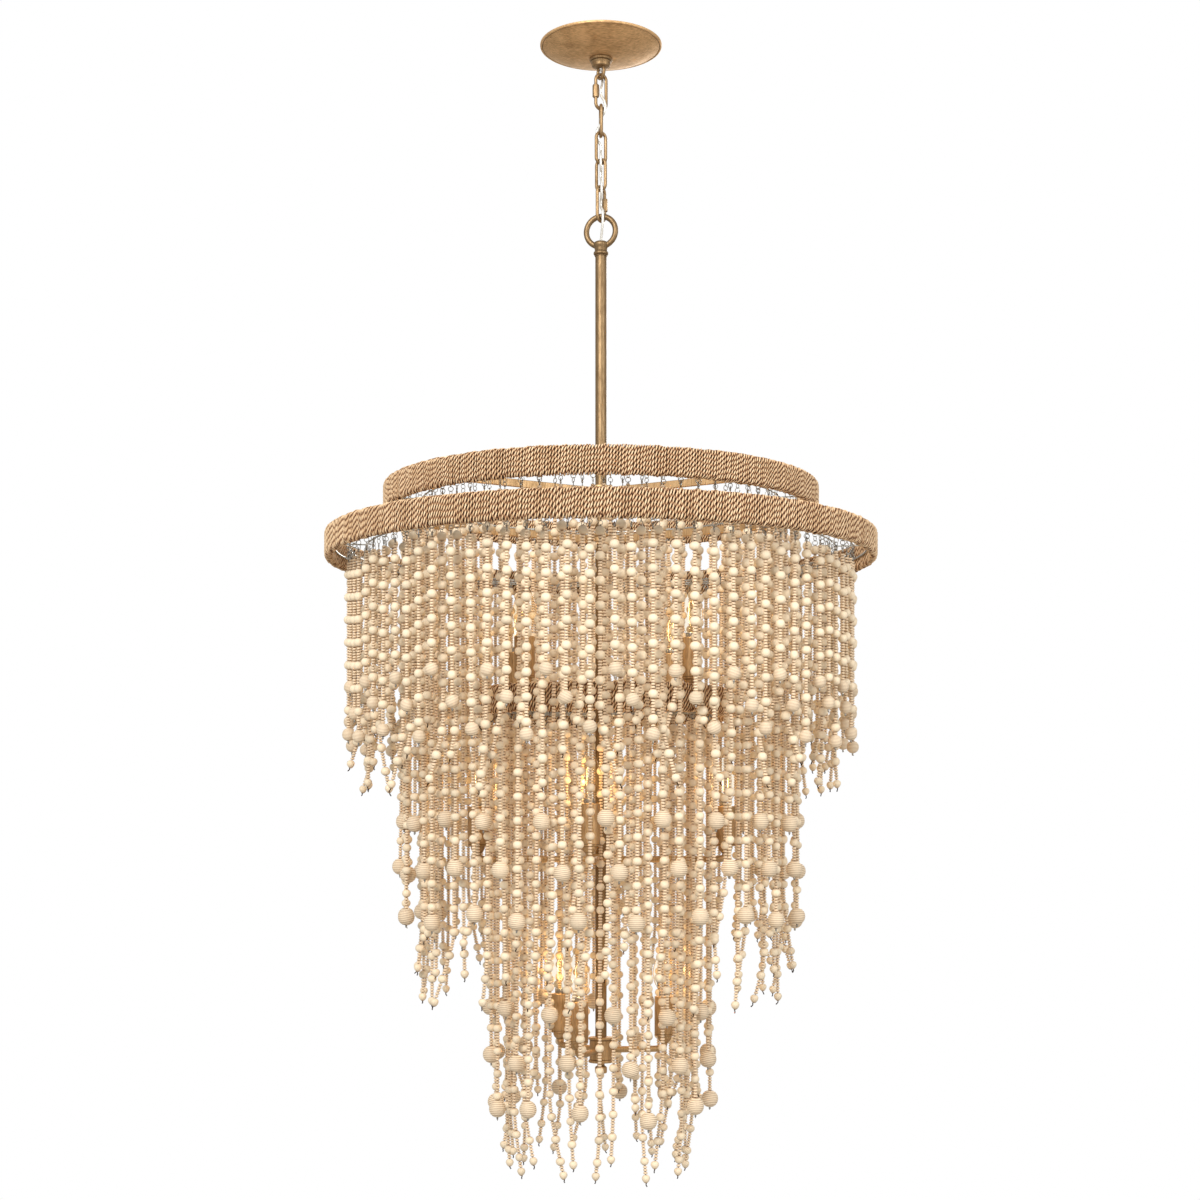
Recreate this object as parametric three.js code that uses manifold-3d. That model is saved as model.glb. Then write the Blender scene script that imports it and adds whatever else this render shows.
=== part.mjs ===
// Beaded chandelier on a chain. Three rope-wrapped hoops carry tiers of wooden bead strands
// round eleven candle lamps. Millimetres, +Z up, origin at the middle of the ceiling face.
// Bearings are in degrees from the front (-Y) towards the right (+X).

import * as THREE from 'three';
import { mergeVertices } from 'three/addons/utils/BufferGeometryUtils.js';
import Module from 'manifold-3d';

const wasm = await Module();
wasm.setup();

// Clearances and overruns
const seatGap = 0.3;
const hookGap = 0.5;
const cutOverrun = 1;
const fuseDepth = 0.8;

// Canopy, its bracket and the screw collar loop
const canopyRadius = 90;
const canopyDepth = 20.5;
const canopyWall = 1.6;
const canopyRimHeight = 2.6;
const canopyRimBevel = 3;
const canopyFaceRadius = 24;
const canopyBore = 12.6;
const bracketLength = 104;
const bracketWidth = 20;
const bracketThickness = 3;
const shankRadius = 12;
const shankReveal = 1.2;
const collarRadius = 17;
const collarHeight = 12;
const collarLip = 4;
const collarStep = 2.2;
const collarBevel = 1;
const loopWire = 4.8;
const loopInnerRadius = 6.5;

// Chain: quick links at both ends of three plain links
const linkWire = 4.8;
const linkInnerLength = 40.6;
const linkInnerWidth = 11.1;
const quickWire = 4.9;
const quickInnerLength = 46.2;
const quickInnerWidth = 11.8;
const quickGap = 6.2;
const sleeveLength = 18.5;
const sleeveAcrossFlats = 8.6;
const sleeveBoreGap = 0.5;
const sleeveFootCover = 0.6;
const cordDiameter = 4;
const cordSideGap = 0.75;
const cordStraight = 4;
const cordTopGap = 0.8;

// Stem and its loop casting
const stemLoopInnerRadius = 18;
const stemLoopWire = 8.3;
const couplingRise = 3;
const couplingHeight = 22;
const couplingLipRadius = 11.2;
const couplingWaistRadius = 9.5;
const couplingBeadRadius = 10.6;
const couplingBeadHeight = 7;
const cordPocketRadius = 3;
const cordPocketDepth = 8;
const stemRadius = 8.4;
const stemWall = 1.8;

// Rope-wrapped hoops: how far each hangs below the ceiling, and its outer radius
const upperHoopDrop = 654;
const upperHoopRadius = 321;
const lowerHoopDrop = 725.5;
const lowerHoopRadius = 406;
const innerHoopDrop = 956;
const innerHoopRadius = 198;
const bandHeight = 42;
const bandThickness = 13;
const bandRounding = 4;
const spokeHeight = 11;
const spokeWidth = 5;
const spokeInset = 2;
const hubRadius = 16;
const hubOverhang = 3;
const flangeThickness = 2.5;
const flangeRise = 4;
const flangeMargin = 9;

// Bead strands
const beadPitch = 32.6;
const beadRadius = 6.2;
const stringRadius = 3.25;
const firstBeadDrop = 10;
const largeBeadHalfHeightShare = 0.86;
const tailTaper = 7;
const rowSpacing = 25;
const upperRowInset = 32;
const lowerRowInset = 36;
const innerRowInset = 35;
const lowerLargeBeadRadius = 8.4;
const upperLargeBeadRadius = 10.4;
const innerLargeBeadRadius = 10.2;
const lowerOuterDrop = 275;
const lowerStagger = 78;
const lowerTipDrop = 354;
const lowerTipStagger = 84;
const upperOuterDrop = 600;
const upperStagger = 140;
const upperTipDrop = 727;
const upperTipStagger = 87;
const innerOuterDrop = 574;
const innerStagger = 139;
const innerTipDrop = 677;
const innerTipStagger = 102;
const tailDrop = 20;

// Candle lamps
const lampSleeveRadius = 14.8;
const lampSleeveHeight = 59;
const lampCupRadius = 10.5;
const lampCupHeight = 10;
const armRadius = 4.75;
const armElbowRadius = 9;
const upperLampInset = 30;
const middleLampOutset = 21;
const lowerLampInset = 67;
const middleArmsBelowHoop = 249;
const lowerArmsBelowMiddle = 282;
const armHubRadius = 18.5;
const armHubHeight = 38;
const armHubLip = 1.6;
const armHubLipHeight = 5;
const finialRadius = 9;
const finialHeight = 15.5;
const finialNeck = 5;
const bulbBaseRadius = 6.3;
const bulbBaseLength = 20;
const bulbCollarRadius = 8.2;
const bulbCollarHeight = 7;
const bulbRadius = 17.5;
const bulbHeight = 84;

// Bearings, counts and the fineness of round forms
const loopBearing = -60;
const chainBearings = [205, 95, 30, -35, 50];
const stemLoopBearing = -15;
const spokeBearings = [60, 180, 300];
const cordWays = [-1, -1, 1, -1, 1, -1];
const upperLampBearings = [50, 140, 230, 320];
const middleLampBearings = [-5, 85, 175, 265];
const lowerLampBearings = [-20, 100, 220];
const sectorCount = 6;
const hoopSegments = 36;
const canopySegments = 20;
const turnedSegments = 12;
const collarSegments = 16;
const holderSegments = 8;
const bulbSegments = 8;
const wireSides = 8;
const ringSteps = 18;
const bowSteps = 5;
const elbowSteps = 3;
const strandSides = 3;
const cordSides = 8;
const cordSteps = 9;
const armSides = 6;

// Outlines as shares of the sizes they follow
const canopyDishShares = [[0.45, 0.87], [0.72, 0.6]];
const bulbOutlineShares = [[0.8, 0.2], [1, 0.4], [0.62, 0.8]];
const lowerStaggerShares = [0, 0.49, 1, 0.49];
const upperStaggerShares = [0, 1, 0.48];
const innerStaggerShares = [0.5, 0, 1];
const tipStaggerShares = [0, 1];

// Strand rows and lamps stand at a clearance from the hoop that they go with
const upperRowRadius = upperHoopRadius - upperRowInset;
const lowerRowRadius = lowerHoopRadius - lowerRowInset;
const innerRowRadius = innerHoopRadius - innerRowInset;
const upperLampRadius = innerHoopRadius - upperLampInset;
const middleLampRadius = innerRowRadius + middleLampOutset;
const lowerLampRadius = innerRowRadius - lowerLampInset;
const middleArmDrop = innerHoopDrop + middleArmsBelowHoop;
const lowerArmDrop = middleArmDrop + lowerArmsBelowMiddle;

// Finishes
const brass = { color: '#b3905c', metalness: 0.9, roughness: 0.42 };
const steel = { color: '#c9c9c6', metalness: 0.9, roughness: 0.35 };
const rope = { color: '#b08d62', metalness: 0, roughness: 0.9 };
const wood = { color: '#e9d3aa', metalness: 0, roughness: 0.65 };
const clearCord = { color: '#cfccc4', metalness: 0, roughness: 0.4 };
const warmGlass = { color: '#fff0cf', metalness: 0, roughness: 0.08 };

const chandelier = new THREE.Group();

// Adds one named piece with its own material.
function addPiece(name, geometry, finish) {
  const mesh = new THREE.Mesh(geometry, new THREE.MeshStandardMaterial(finish));
  mesh.name = name;
  chandelier.add(mesh);
  return mesh;
}

// Makes a closed geometry a solid that can be joined and cut.
function solid(geometry) {
  const plain = geometry.clone();
  plain.deleteAttribute('normal');
  plain.deleteAttribute('uv');
  const merged = mergeVertices(plain, 1e-4);
  return new wasm.Manifold(new wasm.Mesh({
    numProp: 3,
    vertProperties: new Float32Array(merged.attributes.position.array),
    triVerts: new Uint32Array(merged.index.array),
  }));
}

// Gives a joined or cut solid back as a geometry.
function geometryOf(body) {
  const mesh = body.getMesh();
  const geometry = new THREE.BufferGeometry();
  geometry.setAttribute('position', new THREE.Float32BufferAttribute(mesh.vertProperties, 3));
  geometry.setIndex(Array.from(mesh.triVerts));
  geometry.computeVertexNormals();
  return geometry;
}

function joined(geometries) {
  return geometries.map(solid).reduce((whole, next) => whole.add(next));
}

// Turns an outline of [radius, height] points about the Z axis.
function turned(outline, segments) {
  const points = outline.map(([radius, height]) => new THREE.Vector2(radius, height));
  return new THREE.LatheGeometry(points, segments).rotateX(Math.PI / 2);
}

// Closes a hollow outline on itself, so that it turns into a ring.
function turnedRing(outline, segments) {
  return turned([...outline, outline[0]], segments);
}

function radians(degrees) {
  return THREE.MathUtils.degToRad(degrees);
}

// Point at a bearing and radius about the stem.
function placed(radius, bearing, height) {
  const angle = radians(bearing);
  return new THREE.Vector3(radius * Math.sin(angle), -radius * Math.cos(angle), height);
}

// Level direction in the plane of a link that stands at a bearing.
function linkDirection(bearing) {
  return new THREE.Vector3(Math.cos(radians(bearing)), Math.sin(radians(bearing)), 0);
}

// Round tube through stations in one plane. A station is its centre and the direction, across
// the run, of the section's first corner. It closes on itself or is capped at both ends.
function flatTube(stations, side, radius, sides, closed) {
  const positions = [];
  for (const { centre, out } of stations) {
    for (let k = 0; k < sides; k += 1) {
      const angle = (2 * Math.PI * (k + 0.5)) / sides;
      positions.push(centre.clone()
        .addScaledVector(out, radius * Math.cos(angle))
        .addScaledVector(side, radius * Math.sin(angle)));
    }
  }
  const faces = [];
  const runs = closed ? stations.length : stations.length - 1;
  for (let i = 0; i < runs; i += 1) {
    const here = i * sides;
    const there = ((i + 1) % stations.length) * sides;
    for (let k = 0; k < sides; k += 1) {
      const next = (k + 1) % sides;
      faces.push(here + k, here + next, there + next);
      faces.push(here + k, there + next, there + k);
    }
  }
  if (!closed) {
    const last = (stations.length - 1) * sides;
    for (let k = 1; k < sides - 1; k += 1) {
      faces.push(0, k + 1, k);
      faces.push(last, last + k, last + k + 1);
    }
  }
  const geometry = new THREE.BufferGeometry().setFromPoints(positions);
  geometry.setIndex(faces);
  geometry.computeVertexNormals();
  return geometry;
}

// One station on an arc in the XZ plane.
function arcStation(radius, angle, centreX, centreZ) {
  const out = new THREE.Vector3(Math.cos(angle), 0, Math.sin(angle));
  const centre = new THREE.Vector3(centreX, 0, centreZ).addScaledVector(out, radius);
  return { centre, out };
}

// Stations of a long link, up its right leg and round. A gap in that leg, given by its ends,
// leaves the run open.
function linkStations(innerLength, innerWidth, wire, gap) {
  const bowRadius = (innerWidth + wire) / 2;
  const legHalf = (innerLength + wire) / 2 - bowRadius;
  const stations = [];
  if (gap) stations.push(arcStation(bowRadius, 0, 0, gap.top));
  for (const [start, height] of [[0, legHalf], [Math.PI, -legHalf]]) {
    for (let i = 0; i <= bowSteps; i += 1) {
      stations.push(arcStation(bowRadius, start + (Math.PI * i) / bowSteps, 0, height));
    }
  }
  if (gap) stations.push(arcStation(bowRadius, 0, 0, gap.foot));
  return stations;
}

function ringStations(centreRadius) {
  const stations = [];
  for (let i = 0; i < ringSteps; i += 1) {
    stations.push(arcStation(centreRadius, (2 * Math.PI * i) / ringSteps, 0, 0));
  }
  return stations;
}

const across = new THREE.Vector3(0, 1, 0);

// Heights of the canopy fittings, from the ceiling down
const canopyFace = -canopyDepth;
const collarTop = canopyFace - seatGap;
const collarBottom = collarTop - collarHeight;
const shankBottom = collarBottom - shankReveal;
const loopCentre = shankBottom - loopInnerRadius;

// Heights of the chain. Each inner top sits one hook gap above the inner bottom of the piece
// that carries it.
const chainSizes = [
  { inner: quickInnerLength, width: quickInnerWidth, wire: quickWire },
  { inner: linkInnerLength, width: linkInnerWidth, wire: linkWire },
  { inner: linkInnerLength, width: linkInnerWidth, wire: linkWire },
  { inner: linkInnerLength, width: linkInnerWidth, wire: linkWire },
  { inner: quickInnerLength, width: quickInnerWidth, wire: quickWire },
];
const chainMiddles = [];
const hooks = [loopCentre - loopInnerRadius];
for (const { inner } of chainSizes) {
  const innerTop = hooks.at(-1) + hookGap;
  chainMiddles.push(innerTop - inner / 2);
  hooks.push(innerTop - inner);
}
const stemLoopCentre = hooks.at(-1) + hookGap - stemLoopInnerRadius;
const couplingTop = stemLoopCentre - stemLoopInnerRadius + couplingRise;
const couplingBottom = couplingTop - couplingHeight;

// Heights of the lamps and of the foot of the stem
const armHubTop = -lowerArmDrop + armHubHeight / 2;
const armHubBottom = armHubTop - armHubHeight;
const stemTop = couplingBottom - seatGap;
const stemBottom = armHubTop + seatGap;

// Ceiling bracket with the hole that the loop's shank hangs from
function ceilingBracket() {
  const bar = new THREE.BoxGeometry(bracketLength, bracketWidth, bracketThickness);
  bar.translate(0, 0, -bracketThickness / 2);
  return bar;
}

// Dished canopy, open at the ceiling and bored for the shank
function canopy() {
  const inner = canopyRadius - canopyWall;
  const dish = canopyDishShares.map(([r, d]) => [canopyRadius * r, -canopyDepth * d]);
  return turnedRing([
    [canopyBore, canopyFace],
    [canopyFaceRadius, canopyFace],
    ...dish,
    [canopyRadius - canopyRimBevel, -canopyRimHeight - canopyRimBevel / 2],
    [canopyRadius, -canopyRimHeight],
    [canopyRadius, 0],
    [inner, 0],
    [inner - canopyRimBevel, -canopyRimHeight],
    ...dish.reverse().map(([r, z]) => [r, z + canopyWall]),
    [canopyFaceRadius, canopyFace + canopyWall],
    [canopyBore, canopyFace + canopyWall],
  ], canopySegments);
}

// Stepped screw collar under the canopy
function canopyCollar() {
  const bore = shankRadius + seatGap;
  const waist = collarRadius - collarStep;
  return turnedRing([
    [bore, collarTop],
    [bore, collarBottom],
    [waist - collarBevel, collarBottom],
    [waist, collarBottom + collarBevel],
    [waist, collarTop - collarLip],
    [collarRadius, collarTop - collarLip],
    [collarRadius, collarTop],
  ], collarSegments);
}

// Loop with its threaded shank in one casting
function canopyLoop() {
  const shank = turned([
    [0, shankBottom],
    [shankRadius, shankBottom],
    [shankRadius, -bracketThickness - seatGap],
    [0, -bracketThickness - seatGap],
  ], collarSegments);
  const ring = flatTube(ringStations(loopInnerRadius + loopWire / 2), across, loopWire / 2,
    wireSides, true);
  ring.rotateZ(radians(loopBearing)).translate(0, 0, loopCentre);
  return geometryOf(joined([shank, ring]));
}

// A quick link's gap, just inside the foot of its sleeve, so that the raised sleeve opens it
const gapFoot = -sleeveLength / 2 + sleeveFootCover;
const quickLinkGap = { foot: gapFoot, top: gapFoot + quickGap };

// Plain chain link, or the body of a quick link with its gap
function chainPiece(index, gap) {
  const { inner, width, wire } = chainSizes[index];
  const stations = linkStations(inner, width, wire, gap);
  const geometry = flatTube(stations, across, wire / 2, wireSides, !gap);
  return geometry.rotateZ(radians(chainBearings[index])).translate(0, 0, chainMiddles[index]);
}

// Six-sided nut that closes a quick link. It rides on the leg with the gap.
function quickLinkSleeve(index) {
  const bore = quickWire / 2 + sleeveBoreGap;
  const corner = sleeveAcrossFlats / Math.sqrt(3);
  const legX = (quickInnerWidth + quickWire) / 2;
  const nut = turned([
    [0, -sleeveLength / 2],
    [corner, -sleeveLength / 2],
    [corner, sleeveLength / 2],
    [0, sleeveLength / 2],
  ], 6);
  const hole = turned([
    [0, -sleeveLength / 2 - cutOverrun],
    [bore, -sleeveLength / 2 - cutOverrun],
    [bore, sleeveLength / 2 + cutOverrun],
    [0, sleeveLength / 2 + cutOverrun],
  ], wireSides);
  const geometry = geometryOf(solid(nut).subtract(solid(hole)));
  geometry.translate(legX, 0, 0).rotateZ(radians(chainBearings[index]));
  return geometry.translate(0, 0, chainMiddles[index]);
}

const hookBearings = [loopBearing, ...chainBearings, stemLoopBearing];
const hookWires = [loopWire, ...chainSizes.map(({ wire }) => wire), stemLoopWire];

// Where the supply cord passes a hook: beside both wires, in one of the wider corners between them
function cordSidestep(hook) {
  const above = linkDirection(hookBearings[hook]);
  const below = linkDirection(hookBearings[hook + 1]);
  if (above.dot(below) > 0) below.negate();
  const way = above.clone().add(below).normalize();
  const clear = (Math.max(hookWires[hook], hookWires[hook + 1]) + cordDiameter) / 2 + cordSideGap;
  return way.clone().multiplyScalar((cordWays[hook] * clear) / Math.sin(way.angleTo(above)));
}

// Supply cord past one hook, from the middle of one link to the middle of the next
function supplyCord(hook) {
  const first = hook === 0;
  const last = hook === chainMiddles.length;
  const pocketFloor = couplingTop - cordPocketDepth;
  const start = first ? shankBottom - cordTopGap : chainMiddles[hook - 1] - seatGap / 2;
  const end = last ? pocketFloor + seatGap : chainMiddles[hook] + seatGap / 2;
  const topStraight = first ? cordTopGap : cordStraight;
  const footStraight = last ? cordPocketDepth : cordStraight;
  const aside = cordSidestep(hook);
  const above = hooks[hook] + hookWires[hook + 1] + cordDiameter / 2;
  const below = hooks[hook] - hookWires[hook] - cordDiameter / 2;
  const path = new THREE.CatmullRomCurve3([
    new THREE.Vector3(0, 0, start),
    new THREE.Vector3(0, 0, start - topStraight),
    new THREE.Vector3(aside.x, aside.y, above),
    new THREE.Vector3(aside.x, aside.y, below),
    new THREE.Vector3(0, 0, end + footStraight),
    new THREE.Vector3(0, 0, end),
  ]);
  const section = new THREE.Shape();
  for (let k = 0; k < cordSides; k += 1) {
    const angle = (2 * Math.PI * k) / cordSides;
    const x = (cordDiameter / 2) * Math.cos(angle);
    const y = (cordDiameter / 2) * Math.sin(angle);
    if (k === 0) section.moveTo(x, y);
    else section.lineTo(x, y);
  }
  section.closePath();
  return new THREE.ExtrudeGeometry(section, { steps: cordSteps, extrudePath: path });
}

// Ring over the stem with its flared coupling in one casting, pocketed for the cord
function stemLoop() {
  const ring = flatTube(ringStations(stemLoopInnerRadius + stemLoopWire / 2), across,
    stemLoopWire / 2, wireSides, true);
  ring.rotateZ(radians(stemLoopBearing)).translate(0, 0, stemLoopCentre);
  const beadTop = couplingBottom + couplingBeadHeight;
  const coupling = turned([
    [0, couplingBottom],
    [couplingWaistRadius, couplingBottom],
    [couplingBeadRadius, couplingBottom + couplingBeadHeight / 4],
    [couplingBeadRadius, beadTop - couplingBeadHeight / 4],
    [couplingWaistRadius, beadTop],
    [couplingLipRadius, couplingTop - couplingRise],
    [couplingWaistRadius, couplingTop],
    [0, couplingTop],
  ], turnedSegments);
  const pocket = turned([
    [0, couplingTop - cordPocketDepth],
    [cordPocketRadius, couplingTop - cordPocketDepth],
    [cordPocketRadius, couplingTop + cutOverrun],
    [0, couplingTop + cutOverrun],
  ], cordSides);
  return geometryOf(joined([ring, coupling]).subtract(solid(pocket)));
}

function stem() {
  return turnedRing([
    [stemRadius, stemBottom],
    [stemRadius, stemTop],
    [stemRadius - stemWall, stemTop],
    [stemRadius - stemWall, stemBottom],
  ], turnedSegments);
}

// Flat steel band of a hoop under its rope winding, with rounded edges
function ropeHoop(radius, drop) {
  const inner = radius - bandThickness;
  const bottom = -drop - bandHeight;
  return turnedRing([
    [radius, bottom + bandRounding],
    [radius, -drop - bandRounding],
    [radius - bandRounding, -drop],
    [inner, -drop],
    [inner, bottom],
    [radius - bandRounding, bottom],
  ], hoopSegments);
}

// How far a piece may reach inside a hoop, whose inner face is flat between its corners
function reachInside(hoopRadius, halfWidth) {
  const inner = hoopRadius - bandThickness;
  return inner - seatGap - halfWidth * Math.tan(Math.PI / hoopSegments);
}

// Bored hub on the stem
function stemHub(radius, top, bottom) {
  return turnedRing([
    [stemRadius + seatGap, bottom],
    [radius, bottom],
    [radius, top],
    [stemRadius + seatGap, top],
  ], turnedSegments);
}

// Hub on the stem with flat bars out to a hoop
function hoopSpokes(hoopRadius, drop) {
  const top = -drop - spokeInset;
  const reach = reachInside(hoopRadius, spokeWidth / 2);
  const start = hubRadius - fuseDepth;
  const parts = [stemHub(hubRadius, top + hubOverhang, top - spokeHeight - hubOverhang)];
  for (const bearing of spokeBearings) {
    const bar = new THREE.BoxGeometry(reach - start, spokeWidth, spokeHeight);
    bar.translate((reach + start) / 2, 0, top - spokeHeight / 2);
    parts.push(bar.rotateZ(radians(bearing - 90)));
  }
  return geometryOf(joined(parts));
}

// Candle sleeve on its cup, pocketed for a bulb. Its foot stands on the height given.
function lampHolder(foot) {
  const cupTop = foot + lampCupHeight;
  const top = cupTop + lampSleeveHeight;
  const pocket = bulbBaseRadius + seatGap;
  const floor = top - bulbBaseLength - seatGap;
  return turned([
    [0, foot],
    [lampCupRadius, foot],
    [lampCupRadius, cupTop],
    [lampSleeveRadius, cupTop],
    [lampSleeveRadius, top],
    [pocket, top],
    [pocket, floor],
    [0, floor],
  ], holderSegments);
}

// Height of the top of a sleeve whose arm hangs at a drop
function sleeveTop(armDrop) {
  return -armDrop + armRadius + lampCupHeight - fuseDepth + lampSleeveHeight;
}

// Straight arm along +X from the hub
function straightArm(start, end, height) {
  const out = new THREE.Vector3(0, 0, 1);
  const stations = [end, start].map((x) => ({ centre: new THREE.Vector3(x, 0, height), out }));
  return flatTube(stations, across, armRadius, armSides, false);
}

// Arm along +X that turns up at its end
function elbowArm(start, end, height, rise) {
  const stations = [{ centre: new THREE.Vector3(start, 0, height), out: new THREE.Vector3(0, 0, -1) }];
  for (let i = 0; i <= elbowSteps; i += 1) {
    const angle = (Math.PI / 2) * (i / elbowSteps - 1);
    stations.push(arcStation(armElbowRadius, angle, end - armElbowRadius, height + armElbowRadius));
  }
  stations.push({ centre: new THREE.Vector3(end, 0, height + rise), out: new THREE.Vector3(1, 0, 0) });
  return flatTube(stations, across, armRadius, armSides, false);
}

// Inner hoop's frame: tubes from the hub to the hoop, each with a lamp standing on it
function innerHoopFrame() {
  const height = -innerHoopDrop - spokeInset - armRadius;
  const reach = reachInside(innerHoopRadius, armRadius);
  const parts = [stemHub(hubRadius, height + armRadius + hubOverhang, height - armRadius - hubOverhang)];
  for (const bearing of upperLampBearings) {
    parts.push(straightArm(hubRadius - fuseDepth, reach, height).rotateZ(radians(bearing - 90)));
    const holder = lampHolder(height + armRadius - fuseDepth);
    parts.push(holder.translate(upperLampRadius, 0, 0).rotateZ(radians(bearing - 90)));
  }
  return geometryOf(joined(parts));
}

// Arms that turn up under their lamps, on a hub that is already made
function elbowLamps(hub, bearings, lampRadius, height, hubEdge) {
  const parts = [hub];
  const foot = height + armRadius - fuseDepth;
  for (const bearing of bearings) {
    const arm = elbowArm(hubEdge - fuseDepth, lampRadius, height, armElbowRadius + fuseDepth);
    parts.push(arm.rotateZ(radians(bearing - 90)));
    const holder = lampHolder(foot + armElbowRadius - armRadius + fuseDepth);
    parts.push(holder.translate(lampRadius, 0, 0).rotateZ(radians(bearing - 90)));
  }
  return geometryOf(joined(parts));
}

function middleArms() {
  const hub = stemHub(hubRadius, -middleArmDrop + armRadius + hubOverhang,
    -middleArmDrop - armRadius - hubOverhang);
  return elbowLamps(hub, middleLampBearings, middleLampRadius, -middleArmDrop, hubRadius);
}

// Bottom hub under the foot of the stem, with a lip round each end
function lowerArms() {
  const body = armHubRadius - armHubLip;
  const hub = turned([
    [0, armHubBottom],
    [armHubRadius, armHubBottom],
    [armHubRadius, armHubBottom + armHubLipHeight],
    [body, armHubBottom + armHubLipHeight],
    [body, armHubTop - armHubLipHeight],
    [armHubRadius, armHubTop - armHubLipHeight],
    [armHubRadius, armHubTop],
    [0, armHubTop],
  ], turnedSegments);
  return elbowLamps(hub, lowerLampBearings, lowerLampRadius, -lowerArmDrop, body);
}

function finial() {
  const top = armHubBottom - seatGap;
  return turned([
    [0, top - finialHeight],
    [finialRadius * 0.6, top - finialHeight],
    [finialRadius, top - finialHeight * 0.7],
    [finialRadius, top - finialNeck],
    [finialRadius * 0.6, top],
    [0, top],
  ], turnedSegments);
}

// Pointed candle bulb with its screw base in the holder's pocket
function bulb(top) {
  const seat = top + seatGap;
  const glass = seat + bulbCollarHeight;
  const outline = bulbOutlineShares.map(([r, h]) => [bulbRadius * r, glass + (bulbHeight - bulbCollarHeight) * h]);
  return turned([
    [0, seat - bulbBaseLength],
    [bulbBaseRadius, seat - bulbBaseLength],
    [bulbBaseRadius, seat],
    [bulbCollarRadius, seat],
    [bulbCollarRadius, glass],
    ...outline,
    [0, seat + bulbHeight],
  ], bulbSegments);
}

// One strand about the Z axis: a string with its beads at the pitch, its low bead and a tapered
// tail. Above the height given, where other strands hide it, it has no beads.
// Its few flat sides stand a little further out, so that it looks as wide as the round one.
function strand(top, lowBead, tip, lowBeadRadius, beadsBelow) {
  const half = lowBeadRadius * largeBeadHalfHeightShare;
  const points = [[0, top], [stringRadius, top]];
  const addBeads = (first, last) => {
    for (let height = first; height > last; height -= beadPitch) {
      if (height < beadsBelow) {
        points.push([stringRadius, height + beadPitch / 2], [beadRadius, height]);
      }
    }
  };
  addBeads(top - firstBeadDrop - beadPitch / 2, lowBead + half + beadPitch / 2);
  points.push([stringRadius, lowBead + half]);
  points.push([lowBeadRadius, lowBead + half / 2], [lowBeadRadius, lowBead - half / 2]);
  points.push([stringRadius, lowBead - half]);
  addBeads(lowBead - half - beadPitch / 2 - fuseDepth, tip + tailTaper + beadPitch / 2);
  points.push([stringRadius, tip + tailTaper], [0, tip]);
  const evenWidth = Math.PI / (strandSides * Math.sin(Math.PI / strandSides));
  return turned(points.reverse().map(([r, z]) => [r * evenWidth, z]), strandSides);
}

// Level plate between two radii over a span of bearings, with corners at the hoop's corners
function arcPlate(inner, outer, span, bottom) {
  const steps = hoopSegments / sectorCount;
  const slack = THREE.MathUtils.radToDeg(seatGap / inner);
  const bearings = [];
  for (let i = 0; i <= steps; i += 1) bearings.push((span * i) / steps);
  bearings[0] += slack;
  bearings[steps] -= slack;
  const rim = (radius, list) => list.map((bearing) => placed(radius, bearing, 0));
  const corners = [...rim(outer, bearings), ...rim(inner, [...bearings].reverse())];
  const shape = new THREE.Shape(corners.map(({ x, y }) => new THREE.Vector2(x, y)));
  const plate = new THREE.ExtrudeGeometry(shape, { depth: flangeThickness, bevelEnabled: false });
  return plate.translate(0, 0, bottom);
}

// One sixth of a tier: the hanger flange inside the hoop and the strands that it carries
function curtain(tier) {
  const bottom = -tier.hoopDrop - bandHeight + flangeRise;
  const span = 360 / sectorCount;
  const inner = tier.rowRadius - rowSpacing - flangeMargin;
  const outer = tier.hoopRadius - bandThickness - seatGap;
  const parts = [arcPlate(inner, outer, span, bottom)];
  const rows = [
    { count: tier.outerCount, radius: tier.rowRadius, drop: tier.outerDrop, stagger: tier.stagger,
      shares: tier.staggerShares, size: tier.largeRadius, tail: 0, beadsBelow: tier.beadsBelow },
    { count: tier.innerCount, radius: tier.rowRadius - rowSpacing, stagger: tier.tipStagger,
      drop: tier.tipDrop - tailDrop - tailTaper - beadRadius, shares: tipStaggerShares,
      size: beadRadius, tail: tailDrop, beadsBelow: bottom - tier.outerDrop + tier.stagger },
  ];
  for (const { count, radius, drop, stagger, shares, size, tail, beadsBelow } of rows) {
    for (let i = 0; i < count; i += 1) {
      const lowBead = bottom - drop + stagger * shares[i % shares.length];
      const end = lowBead - size - tailTaper - tail;
      const piece = strand(bottom + fuseDepth, lowBead, end, size, beadsBelow);
      const place = placed(radius, (span * (i + 0.5)) / count, 0);
      parts.push(piece.translate(place.x, place.y, 0));
    }
  }
  return geometryOf(joined(parts));
}

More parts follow.
